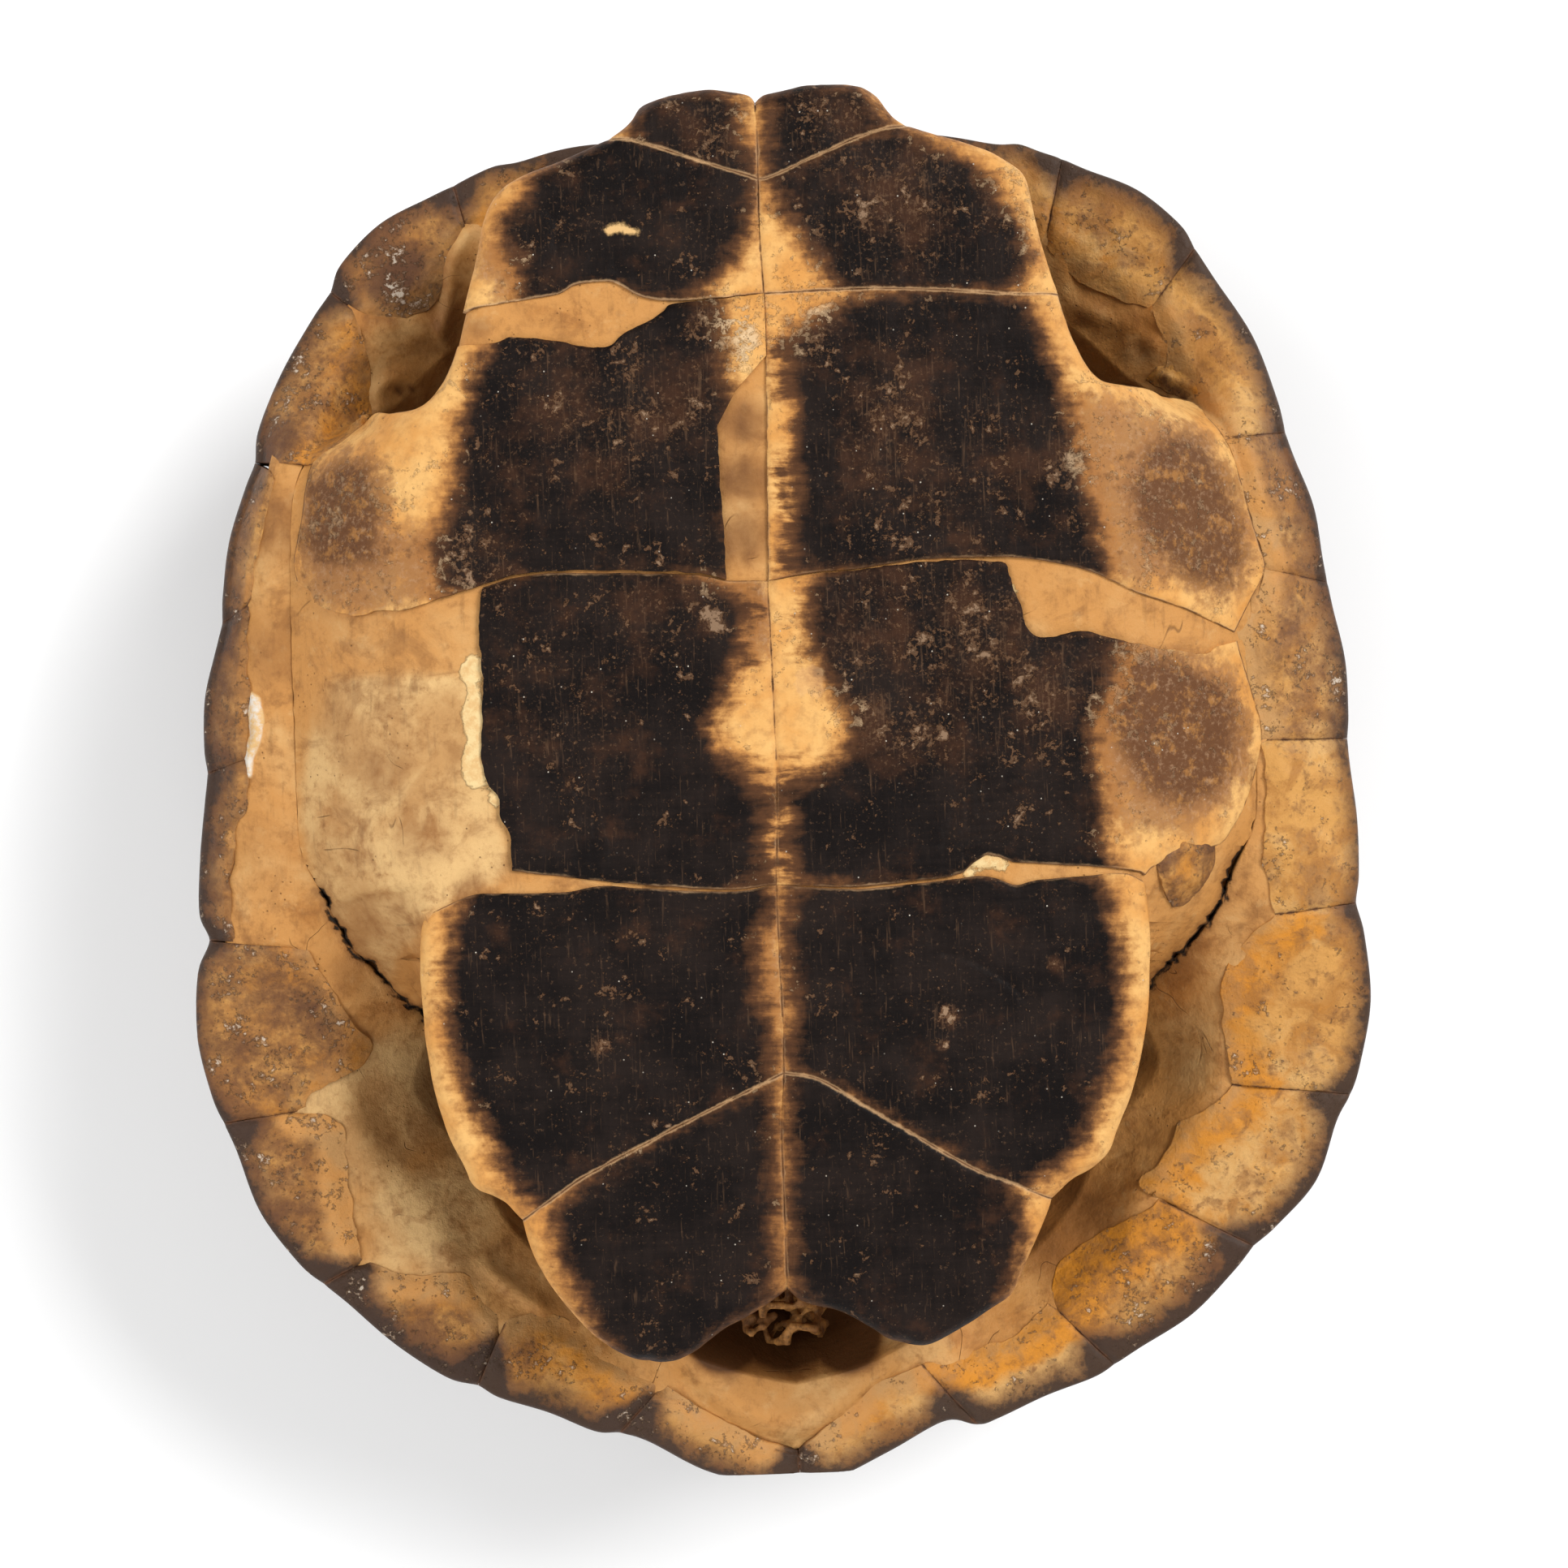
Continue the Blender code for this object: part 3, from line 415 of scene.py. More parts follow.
# %% A patch between four edges
def eased(length, spacing, lip=(0.0, 0.1, 0.25, 0.5, 0.9)):
    """Places along an edge, from 0 to 1, that lie close together at both ends, where edges are rounded."""
    lip = np.array(lip)
    middle = np.linspace(lip[-1], length - lip[-1], max(3, int((length - 2 * lip[-1]) / spacing)))
    return np.concatenate([lip[:-1], middle, length - lip[:-1][::-1]]) / length


EVEN = ((0, 1), (0, 1))


def patch(head, tail, middle, side, spacing, columns=EVEN, rows=EVEN):
    """Plan points between four edges that meet at the corners, blended as a Coons patch.

    "columns" pairs places on the head edge with places on the tail edge, and "rows" places on the side edge
    with places on the middle edge, as shares of their lengths. That keeps the cells of a bent outline open.
    """
    width = max(along(head)[-1], along(tail)[-1])
    height = max(along(middle)[-1], along(side)[-1])
    u, v = eased(width, spacing), eased(height, spacing)
    top, bottom = at(head, u * along(head)[-1]), at(tail, np.interp(u, *columns) * along(tail)[-1])
    left, right = at(middle, np.interp(v, *rows) * along(middle)[-1]), at(side, v * along(side)[-1])
    across, down = u[None, :, None], v[:, None, None]
    ruled = (1 - down) * top + down * bottom + (1 - across) * left[:, None] + across * right[:, None]
    corners = (1 - across) * ((1 - down) * top[0] + down * bottom[0])
    return ruled - corners - across * ((1 - down) * top[-1] + down * bottom[-1])

# %% [markdown]
# ## Shader maths as sums
# A material is a web of nodes. Written out node by node it hides what it does, so one small class wraps a
# socket and lets it be added and multiplied: each sign adds a Math node. Colours are blended by Mix nodes.
# Lengths in the materials are millimetres, because their coordinates are scaled once at the start.

# %% A number that can be added and multiplied
class Wire:
    """A number on its way through a material's nodes."""

    def __init__(self, finish, socket):
        self.finish = finish
        self.socket = socket

    def math(self, operation, first, second=0.0):
        return self.finish.node("ShaderNodeMath", {"operation": operation}, {0: first, 1: second})

    def __add__(self, other):
        return self.math("ADD", self, other)

    def __sub__(self, other):
        return self.math("SUBTRACT", self, other)

    def __rsub__(self, other):
        return self.math("SUBTRACT", other, self)

    def __mul__(self, other):
        return self.math("MULTIPLY", self, other)

    __radd__ = __add__
    __rmul__ = __mul__

    def most(self, other):
        """The larger of two numbers."""
        return self.math("MAXIMUM", self, other)

# %% A material and its nodes
class Finish:
    """One material, and the nodes that its parts are made of."""

    def __init__(self, name):
        self.material = bpy.data.materials.new(name)
        self.material.use_nodes = True
        self.tree = self.material.node_tree
        self.shader = self.tree.nodes["Principled BSDF"]
        self.place = self.node("ShaderNodeTexCoord", {}, {}, "Object")
        self.colour = None  # what has been painted so far

    def set(self, socket, value):
        """Links a wire to a socket, or sets the socket to a number or a colour."""
        if isinstance(value, Wire):
            self.tree.links.new(value.socket, socket)
        elif isinstance(value, (tuple, list)) and socket.type == "RGBA":
            socket.default_value = (*value, 1.0)
        else:
            socket.default_value = value

    def node(self, kind, settings, inputs, output=0):
        """Adds a node of any type, with its settings first and then its sockets."""
        made = self.tree.nodes.new(kind)
        for name, value in settings.items():
            setattr(made, name, value)
        for key, value in inputs.items():
            self.set(made.inputs[key], value)
        return Wire(self, made.outputs[output])

    def read(self, name):
        """A number stored on the vertices."""
        return self.node("ShaderNodeAttribute", {"attribute_name": name}, {}, "Fac")

    def spot(self, size, stretch, shift):
        """The place on the shell, counted in bumps of a size in millimetres."""
        scale = tuple(1 / (MM * size * s) for s in stretch)
        inputs = {0: self.place, 1: scale, 2: (shift, 1.7 * shift, 0.3 * shift)}
        return self.node("ShaderNodeVectorMath", {"operation": "MULTIPLY_ADD"}, inputs)

    def noise(self, size, stretch=(1, 1, 1), shift=0.0, detail=3.0, rough=0.5, twist=0.0):
        """Cloudy noise with bumps of a size in millimetres, which can be stretched along an axis."""
        inputs = {"Vector": self.spot(size, stretch, shift), "Scale": 1.0, "Detail": detail}
        inputs.update({"Roughness": rough, "Distortion": twist})
        return self.node("ShaderNodeTexNoise", {}, inputs)

    def step(self, value, low, high):
        """A smooth step from 0 at low to 1 at high."""
        inputs = {"Value": value, "From Min": low, "From Max": high}
        return self.node("ShaderNodeMapRange", {"interpolation_type": "SMOOTHSTEP"}, inputs)

    def specks(self, size, shift, solid, gone):
        """Scattered grains or pores, which fade between two distances from their middles."""
        inputs = {"Vector": self.spot(size, (1, 1, 1), shift), "Scale": 1.0}
        away = self.node("ShaderNodeTexVoronoi", {"feature": "F1"}, inputs)
        return 1 - self.step(away, solid, gone)

    def mix(self, share, first, second):
        """A blend of two colours."""
        return self.node("ShaderNodeMix", {"data_type": "RGBA"}, {0: share, 6: first, 7: second}, 2)

    def lay(self, share, colour):
        """Lays a colour over what has been painted so far."""
        self.colour = self.mix(share, self.colour, colour)

    def done(self, roughness, height, depth=0.1, coat=0.0, gloss=0.3):
        """Joins the colour, the roughness and a relief in millimetres to the shader."""
        bump = {"Height": height * depth * MM, "Distance": 1.0, "Strength": 1.0}
        self.set(self.shader.inputs["Base Color"], self.colour)
        self.set(self.shader.inputs["Roughness"], roughness)
        self.set(self.shader.inputs["Normal"], self.node("ShaderNodeBump", {}, bump))
        self.shader.inputs["Specular IOR Level"].default_value = gloss
        self.shader.inputs["Coat Weight"].default_value = coat
        self.shader.inputs["Coat Roughness"].default_value = 0.35
        return self.material

# %% [markdown]
# ## Bone
# Dry shell bone is tan and slightly waxy, with clouds of darker stain, hair cracks and small pores. It is
# painted browner deep in the hollow and on a lowered panel of the belly plate, which is painted shade, and in
# spots of real stain. Three stored numbers steer it: "tan" says how orange a place is, "amber" how rusty and
# the third how brown, from stain and painted shade. "suture" is the distance to a dark joint between bones.

# %% Bone finish
CREAM, SAND, TAN = (0.60, 0.375, 0.155), (0.44, 0.235, 0.083), (0.49, 0.226, 0.060)
STAIN, UMBER, PITCH = (0.225, 0.092, 0.025), (0.082, 0.031, 0.009), (0.012, 0.007, 0.004)
RUST, BUTTER, CHALK = (0.34, 0.122, 0.020), (0.68, 0.50, 0.24), (0.62, 0.57, 0.50)


def bone_finish():
    paint = Finish("bone")
    tan, stain_and_shade, suture, amber = (paint.read(name) for name in ("tan", "stain_and_shade", "suture", "amber"))
    cream, glue = paint.read("cream"), paint.read("glue")
    cloud = paint.noise(13.0, detail=5.0, rough=0.55, twist=0.5)
    blot = paint.noise(5.0, shift=14.0, detail=6.0, rough=0.62, twist=0.4)
    fine = paint.noise(1.4, shift=3.0, detail=6.0, rough=0.7)
    paint.colour = paint.mix(paint.step(cloud + (fine - 0.5) * 0.2, 0.38, 0.62), CREAM, SAND)
    paint.lay(paint.step(tan + (cloud - 0.5) * 0.9 + (blot - 0.5) * 0.5, 0.2, 0.95), TAN)
    rust = amber + (blot - 0.5) * 1.6 + (cloud - 0.5) * 0.8
    paint.lay(paint.step(rust, 0.15, 0.9) * 0.8, RUST)
    paint.lay(paint.step(blot + (fine - 0.5) * 0.4, 0.5, 0.72) * 0.45, STAIN)
    paint.lay(paint.step(fine, 0.5, 0.72) * 0.35, STAIN)
    pale = paint.step(paint.noise(3.0, shift=51.0, detail=5.0, rough=0.65), 0.56, 0.7)
    paint.lay(pale * 0.3, CREAM)
    grime = paint.noise(7.0, shift=83.0, detail=7.0, rough=0.68, twist=0.6)
    paint.lay(paint.step(grime, 0.5, 0.66) * 0.5, STAIN)
    fibres = paint.noise(0.8, stretch=(1, 7, 1), shift=61.0, detail=4.0, rough=0.6)
    paint.lay(paint.step(fibres + (blot - 0.5) * 0.6, 0.55, 0.75) * 0.22, UMBER)
    # Brown from real stains, and painted shade where a place lies deep in the hollow or on the lowered panel.
    stained_and_shaded = paint.step(stain_and_shade + (cloud - 0.5) * 0.6 + (blot - 0.5) * 0.6, 0.1, 0.9)
    paint.lay(stained_and_shaded * 0.85, STAIN)
    paint.lay(paint.step(stain_and_shade + (blot - 0.5) * 0.5, 0.6, 1.2) * 0.92, UMBER)
    ridge = paint.noise(22.0, shift=9.0, detail=3.0, rough=0.4, twist=0.8) - 0.5
    crack = 1 - paint.step(ridge.math("ABSOLUTE", ridge), 0.0, 0.0025)
    crack = crack * paint.step(paint.noise(9.0, shift=21.0), 0.56, 0.62)
    paint.lay(crack * 0.55, UMBER)
    paint.lay((1 - paint.step(suture + (fine - 0.5) * 1.4, 0.1, 1.0)) * 0.7, STAIN)
    gap = 1 - paint.step(suture + (fine - 0.5) * 0.7, 0.08, 0.3)
    paint.lay(gap, PITCH)
    pores = paint.specks(0.9, 5.0, 0.06, 0.16)
    pores = pores * paint.step(paint.noise(6.0, shift=33.0), 0.54, 0.66)
    paint.lay(pores * 0.6, UMBER)
    crust = paint.step(cream + (fine - 0.5) * 1.6, -0.25, 0.05)
    paint.lay(crust, paint.mix(paint.step(fine, 0.4, 0.62), BUTTER, CREAM))
    blob = paint.step(glue + (fine - 0.5) * 0.8, -0.2, 0.15)
    paint.lay(blob, paint.mix(paint.step(fine, 0.38, 0.62), CHALK, CREAM))
    relief = fine * 0.8 + cloud * 1.6 + blot * 1.3 - crack * 0.4 - pores * 0.5 - gap * 0.8 + crust * 0.6
    return paint.done(0.44 + fine * 0.25, relief, 0.25, gloss=0.2)


bone = bone_finish()
print("bone nodes:", len(bone.node_tree.nodes))

# %% [markdown]
# ## Belly horn
# Each belly shield is nearly black with a soft ragged edge, which turns reddish brown, then orange, and ends
# in a border of yellow horn. "dark" is how far a place lies inside the black. Noise bends that distance, and
# near the midline long thin noise pulls it into streaks. "brown" and "dun" do the same for the patches on the
# bridge. Flecks of dried skin lie on top, most of them where "worn" is high.

# %% Belly horn: the border and the bridge
ORANGE, OCHRE, YELLOW = (0.33, 0.125, 0.027), (0.57, 0.26, 0.066), (0.68, 0.39, 0.135)
BROWN, DUN, FAWN = (0.098, 0.039, 0.016), (0.27, 0.120, 0.043), (0.42, 0.26, 0.15)


def border_and_bridge(paint, cloud, blot, fine):
    """The yellow border, with the dun and brown patches on the bridge."""
    paint.colour = paint.mix(paint.step(cloud, 0.35, 0.65), YELLOW, OCHRE)
    paint.lay(paint.step(fine, 0.42, 0.75) * 0.45, DUN)
    paint.lay(paint.step(blot, 0.52, 0.7) * 0.35, YELLOW)
    tawny = paint.read("dun") + (blot - 0.5) * 7.0 + (fine - 0.5) * 4.0
    paint.lay(paint.step(tawny, -2.0, 1.5) * 0.85, DUN)
    stain = paint.read("brown") + (blot - 0.5) * 6.0 + (fine - 0.5) * 5.0
    paint.lay(paint.step(stain, -2.4, 0.4) * 0.8, DUN)
    paint.lay(paint.step(stain, -0.8, 2.2) * 0.9, BROWN)
    mottle = paint.step(fine + (blot - 0.5) * 0.9, 0.5, 0.7)
    bridge_part = paint.step(stain.most(tawny), -2.0, 1.0)
    paint.lay(mottle * bridge_part * 0.36, OCHRE)
    dusty = paint.step(paint.noise(0.8, shift=29.0, detail=6.0, rough=0.75), 0.5, 0.66)
    paint.lay(dusty * bridge_part * 0.35, FAWN)
    dark_mottle = paint.step(paint.noise(2.0, shift=77.0, detail=6.0, rough=0.7), 0.52, 0.68)
    paint.lay(dark_mottle * bridge_part * 0.6, BROWN)


print("the border goes from", YELLOW, "to", OCHRE)

# %% Belly horn: from orange to black
BLACK, SOOT, REDBROWN = (0.0045, 0.0028, 0.0025), (0.0135, 0.0082, 0.0064), (0.066, 0.026, 0.0115)
FLECK = (0.12, 0.064, 0.033)


def how_far_inside(paint, streak, blot, fine):
    """The distance inside the black, bent by noise and pulled into streaks near the midline."""
    brushed = paint.noise(0.9, stretch=(8, 1, 1), shift=8.0, detail=4.0, rough=0.6)
    wisps = paint.noise(3.0, stretch=(3, 1, 1), shift=38.0, detail=6.0, rough=0.66, twist=0.6)
    reach = paint.read("dark") + (blot - 0.5) * 4.4 + (fine - 0.5) * 2.2
    return reach + (brushed - 0.5) * (streak * 2.6 + 2.4) + (wisps - 0.5) * streak * 11.0


def brown_edge(paint, reach, cloud, fine):
    """The orange and the reddish brown round the black."""
    paint.lay(paint.step(reach, -3.6, -0.9) * 0.8, ORANGE)
    edge = reach + (cloud - 0.5) * 4.5 + (fine - 0.5) * 3.0
    paint.lay(paint.step(edge, -3.4, 0.6) * 0.75, DUN)
    paint.lay(paint.step(reach, -2.2, -0.1) * 0.9, REDBROWN)


def black_tone(paint, worn, cloud, grain):
    """The black itself, scuffed where it is worn, and lighter as a painted sheen where the worn spots mark
    the front lobe.
    """
    tone = paint.mix(paint.step(grain + cloud, 0.6, 0.95), BLACK, SOOT)
    # Scuffs, and a painted sheen on the front lobe where the worn spots are strong.
    scuff_and_sheen = paint.step(paint.noise(7.0, shift=90.0, detail=7.0, rough=0.68) + worn * 0.07, 0.53, 0.78)
    tone = paint.mix(scuff_and_sheen * 0.55, tone, REDBROWN)
    speckle = paint.step(paint.noise(0.55, shift=57.0, detail=4.0, rough=0.7) + worn * 0.035, 0.58, 0.72)
    tone = paint.mix(speckle * 0.5, tone, FLECK)
    scratch = paint.noise(0.35, stretch=(1, 14, 1), shift=49.0, detail=3.0, rough=0.6)
    return paint.mix(paint.step(scratch + worn * 0.03, 0.6, 0.8) * 0.45, tone, FLECK)


print("black and its edge:", BLACK, REDBROWN)

# %% Belly horn: dried skin
CRUST, WHITE_FLECK, PALE_CRUMB = (0.24, 0.15, 0.09), (0.62, 0.55, 0.45), (0.60, 0.42, 0.24)


def dried_skin(paint, black, worn, fine):
    """Flakes, crusts, grains and dust. Returns how high they stand."""
    where = paint.noise(5.0, shift=12.0, detail=3.0) + worn * 0.09
    shed = paint.noise(1.15, shift=17.0, detail=6.0, rough=0.66, twist=0.3) + where * 0.55
    flakes = paint.step(shed, 0.925, 0.955)
    rim = flakes * (1 - paint.step(shed, 0.955, 0.985))
    kept = black * 0.6 + 0.15 + paint.step(worn, 2.2, 3.0) * 0.5
    paint.lay(flakes * kept, paint.mix(black, PALE_CRUMB, FLECK))
    paint.lay(rim * kept * 0.5, BROWN)
    crust = paint.step(shed + (fine - 0.5) * 0.12, 1.0, 1.03)
    paint.lay(crust * kept, paint.mix(black, PALE_CRUMB, CRUST))
    grains = paint.specks(0.62, 6.0, 0.08, 0.2) * paint.step(where, 0.48, 0.7)
    paint.lay(grains * 0.5, FLECK)
    dust = paint.specks(1.1, 9.0, 0.035, 0.075)
    dust = dust * paint.step(paint.noise(3.0, shift=44.0, detail=3.0), 0.42, 0.58)
    paint.lay(dust * 0.6, CRUST)
    dots = paint.specks(2.2, 19.0, 0.025, 0.06) * paint.step(where, 0.38, 0.58)
    paint.lay(dots * 0.75, WHITE_FLECK)
    return flakes * 0.6 + crust * 0.5 + grains * 0.4 + dots * 0.4


print("crumbs of dried skin:", PALE_CRUMB)

# %% Belly horn: seams and chips, and the finish
PALE_SEAM, PEELED = (0.52, 0.32, 0.16), (0.56, 0.33, 0.16)


def belly_finish():
    paint = Finish("belly_horn")
    worn, streak, seam, pale, chip = map(paint.read, ("worn", "streak", "seam", "pale", "chip"))
    cloud = paint.noise(9.0, detail=5.0, rough=0.55)
    blot = paint.noise(3.2, shift=31.0, detail=6.0, rough=0.62, twist=0.3)
    fine = paint.noise(1.3, shift=4.0, detail=6.0, rough=0.68)
    combed = paint.noise(0.7, stretch=(1, 12, 1), shift=2.0, detail=4.0)
    grain = (combed + paint.noise(0.6, stretch=(14, 1, 1), shift=66.0, detail=4.0)) * 0.25
    reach = how_far_inside(paint, streak, blot, fine)
    black = paint.step(reach, -1.0, streak * 2.6 + 1.3)
    border_and_bridge(paint, cloud, blot, fine)
    brown_edge(paint, reach, cloud, fine)
    paint.lay(black, black_tone(paint, worn, cloud, grain))
    raised = dried_skin(paint, black, worn, fine)
    patchy = paint.step(pale + (blot - 0.5) * 1.8 + (cloud - 0.5) * 1.2, 0.1, 0.95)
    line = (1 - paint.step(seam + (fine - 0.5) * 0.6, 0.02, 0.38)) * patchy
    paint.lay(line * 0.85, PALE_SEAM)
    groove = 1 - paint.step(seam + (fine - 0.5) * 0.3, 0.03, 0.2)
    paint.lay(groove * paint.step(blot + (cloud - 0.5) * 0.5, 0.36, 0.56) * 0.85, BROWN)
    bared = paint.step(chip + (fine - 0.5) * 1.6, -0.2, 0.3) * (black * 0.7 + 0.3)
    paint.lay(bared, paint.mix(black, PEELED, CREAM))
    relief = grain + fine * 0.9 + raised + blot * 0.8 - bared * 1.5
    return paint.done(0.4 + fine * 0.25, relief, 0.14, gloss=0.08)


belly_horn = belly_finish()
print("belly horn nodes:", len(belly_horn.node_tree.nodes))

# %% [markdown]
# ## Rim and back horn
# Underneath, a rim shield is clear amber horn over bone, with a dark brown band along its outer edge and
# dark smears where two shields meet. On the dome side all horn is brown, with growth rings: that side is
# hidden in the photo. "rim" is the distance from the outer edge, and "back" is 1 on the dome side.

# %% Rim horn finish
AMBER, HONEY, GLOW = (0.37, 0.160, 0.034), (0.53, 0.262, 0.066), (0.56, 0.215, 0.018)
PALE_HORN, BARK, SMOKE = (0.59, 0.35, 0.128), (0.036, 0.019, 0.012), (0.018, 0.011, 0.008)


def rim_finish():
    paint = Finish("rim_horn")
    rim, seam, back = paint.read("rim"), paint.read("seam"), paint.read("back")
    smear, glow, dull, bare = (paint.read(name) for name in ("smear", "glow", "dull", "bare"))
    cloud = paint.noise(6.0, detail=6.0, rough=0.62, twist=0.5)
    soft = paint.noise(13.0, shift=27.0, detail=3.0)
    blot = paint.noise(2.6, shift=55.0, detail=6.0, rough=0.65, twist=0.4)
    fine = paint.noise(1.0, shift=4.0, detail=6.0, rough=0.7)
    paint.colour = paint.mix(paint.step(cloud, 0.4, 0.6), HONEY, AMBER)
    paint.lay(paint.step(soft + (blot - 0.5) * 0.7, 0.46, 0.66) * 0.7, PALE_HORN)
    paint.lay(paint.step(glow + (cloud - 0.5) * 1.8, 0.25, 0.9), GLOW)
    paint.lay(paint.step(blot + (cloud - 0.5) * 0.6, 0.48, 0.66) * 0.6, STAIN)
    paint.lay(paint.step(fine + (blot - 0.5) * 0.5, 0.54, 0.72) * 0.5, BROWN)
    murk = dull + (paint.noise(4.0, shift=25.0, detail=7.0, rough=0.66) - 0.5) * 1.5 + (fine - 0.5) * 0.8
    paint.lay(paint.step(murk, 0.1, 0.8) * 0.75, STAIN)
    paint.lay(paint.step(murk, 0.4, 1.1) * 0.85, BROWN)
    grime = paint.noise(1.8, shift=88.0, detail=7.0, rough=0.72, twist=0.4) + dull * 0.1
    paint.lay(paint.step(grime, 0.54, 0.68) * (dull * 0.45 + 0.2), BROWN)
    stripped = paint.step(bare + (blot - 0.5) * 0.9 + (cloud - 0.5) * 0.6, 0.2, 0.95)
    paint.lay(stripped, paint.mix(paint.step(cloud, 0.38, 0.62), SAND, TAN))
    band = rim + (cloud - 0.5) * 4.5 + (fine - 0.5) * 3.0 + (blot - 0.5) * 4.0 - smear
    paint.lay((1 - paint.step(band, 0.6, 3.4)) * 0.75, BROWN)
    paint.lay((1 - paint.step(band, -0.4, 1.2)) * 0.92, BARK)
    rings = paint.noise(1.0, stretch=(3, 3, 1), shift=30.0, detail=4.0)
    hidden = paint.mix(paint.step(rings + (cloud - 0.5) * 0.7, 0.35, 0.7), BARK, BROWN)
    paint.lay(back, hidden)
    where = paint.noise(4.0, shift=71.0, detail=3.0) + dull * 0.14
    shed = paint.noise(0.8, shift=70.0, detail=6.0, rough=0.7) + where * 0.6
    flecks = paint.step(shed, 0.93, 1.0)
    paint.lay(flecks * 0.5, CRUST)
    paint.lay(paint.step(shed, 1.03, 1.08) * 0.6, WHITE_FLECK)
    grains = paint.specks(1.3, 6.0, 0.04, 0.1)
    paint.lay(grains * 0.5, BARK)
    line = 1 - paint.step(seam + (fine - 0.5) * 0.8, 0.0, 0.32)
    paint.lay(line * paint.step(blot, 0.36, 0.6), BROWN)
    relief = fine * 0.8 + cloud * 1.0 + blot * 0.9 + flecks * 0.5
    return paint.done(0.38 + fine * 0.3, relief * 1.3, 0.2, coat=0.05, gloss=0.2)


rim_horn = rim_finish()
print("rim horn nodes:", len(rim_horn.node_tree.nodes))

# %% Back horn finish
def back_finish():
    paint = Finish("back_horn")
    edge, ring = paint.read("edge"), paint.read("ring")
    cloud = paint.noise(12.0, detail=4.0)
    fine = paint.noise(1.4, shift=4.0, detail=6.0, rough=0.65)
    lines = paint.node("ShaderNodeMath", {"operation": "PINGPONG"}, {0: ring + (fine - 0.5) * 0.5, 1: 0.55})
    grown = paint.step(lines, 0.05, 0.45)
    paint.colour = paint.mix(paint.step(cloud, 0.35, 0.65), BARK, BROWN)
    paint.lay((1 - grown) * 0.5, SMOKE)
    rays = paint.noise(2.4, stretch=(1, 1, 6), shift=15.0, detail=3.0)
    paint.lay(paint.step(rays + (cloud - 0.5) * 0.5, 0.62, 0.8) * 0.6, DUN)
    areola = paint.step(edge + (cloud - 0.5) * 6.0, 9.0, 14.0)
    paint.lay(areola * 0.55, STAIN)
    paint.lay(paint.step(fine, 0.62, 0.8) * 0.4, FLECK)
    line = 1 - paint.step(edge, 0.1, 0.5)
    paint.lay(line * 0.7, SMOKE)
    relief = grown * 0.9 + fine * 0.5 + cloud * 0.6
    return paint.done(0.36 + fine * 0.25, relief, 0.16, coat=0.1, gloss=0.35)


back_horn = back_finish()
print("back horn nodes:", len(back_horn.node_tree.nodes))

# %% [markdown]
# ## Outlines of the belly shields
# Every seam of the belly is a short list of photo pixels, counted from the midline outwards. The side lines
# run from head to tail. Where horn has broken away the line follows the break, so left and right differ.

# %% Seams and breaks on the left side, in photo pixels
MIDDLE = {
    "gular": ((930, 124), (933, 170), (934, 221)),
    "humeral": ((934, 221), (936, 290), (941, 362)),
    "pectoral": ((941, 362), (944, 456), (945, 590), (946, 716)),
    "abdominal": ((946, 716), (950, 800), (957, 960), (957, 1090)),
    "femoral": ((957, 1090), (960, 1180), (965, 1260), (966, 1322)),
    "anal": ((966, 1322), (963, 1380), (965, 1450), (970, 1590)),
}
LEFT = {
    "gular": {
        "head": ((930, 124), (922, 116), (905, 112), (870, 108), (830, 115), (789, 127)),
        "side": ((789, 127), (775, 150), (749, 170)),
        "tail": ((934, 221), (850, 195), (780, 173), (749, 170)),
    },
    "humeral": {
        "side": ((749, 170), (687, 198), (645, 214), (612, 236), (595, 269), (586, 316), (569, 384)),
        "tail": (
            (941, 362), (880, 368), (824, 371), (791, 366), (768, 354), (749, 347), (711, 351), (687, 363),
            (645, 370), (602, 377), (569, 384),
        ),
    },
    "pectoral": {
        "head": (
            (941, 362), (880, 369), (828, 375), (815, 387), (772, 410), (749, 427), (716, 427), (678, 420),
            (631, 416), (607, 424), (562, 426),
        ),
        "middle": (
            (941, 362), (943, 430), (940, 457), (900, 487), (886, 508), (885, 555), (890, 626), (895, 714),
        ),
        "side": (
            (562, 426), (553, 451), (540, 476), (524, 494), (504, 504), (479, 508), (458, 509), (423, 541),
            (385, 570), (372, 640), (362, 690), (366, 716),
        ),
        "tail": (
            (895, 714), (850, 705), (700, 703), (640, 708), (584, 724), (504, 750), (470, 752), (439, 758),
            (412, 754), (389, 743), (382, 728), (366, 716),
        ),
    },
    "abdominal": {
        "head": ((946, 716), (895, 715), (850, 708), (700, 706), (640, 711), (595, 724)),
        "side": (
            (595, 724), (590, 771), (595, 842), (595, 945), (614, 983), (616, 1007), (628, 1030), (631, 1073),
        ),
        "tail": ((957, 1090), (900, 1096), (800, 1091), (740, 1085), (690, 1080), (631, 1073)),
    },
    "femoral": {
        "head": (
            (957, 1090), (900, 1098), (800, 1095), (740, 1092), (690, 1100), (616, 1101), (579, 1104),
            (522, 1129),
        ),
        "side": (
            (522, 1129), (517, 1153), (516, 1185), (517, 1217), (522, 1271), (529, 1319), (540, 1367),
            (554, 1405), (573, 1443), (579, 1458), (590, 1468), (608, 1475), (623, 1484), (634, 1496),
            (643, 1505),
        ),
        "tail": ((966, 1322), (930, 1340), (860, 1375), (790, 1412), (720, 1450), (680, 1478), (643, 1505)),
    },
    "anal": {
        "side": (
            (643, 1505), (649, 1528), (658, 1551), (673, 1578), (690, 1602), (709, 1625), (729, 1645),
            (753, 1663), (776, 1674), (799, 1680),
        ),
        "tail": (
            (970, 1590), (952, 1604), (923, 1623), (893, 1639), (873, 1654), (852, 1669), (829, 1679),
            (799, 1680),
        ),
    },
}
print("outlined on the left:", list(LEFT))

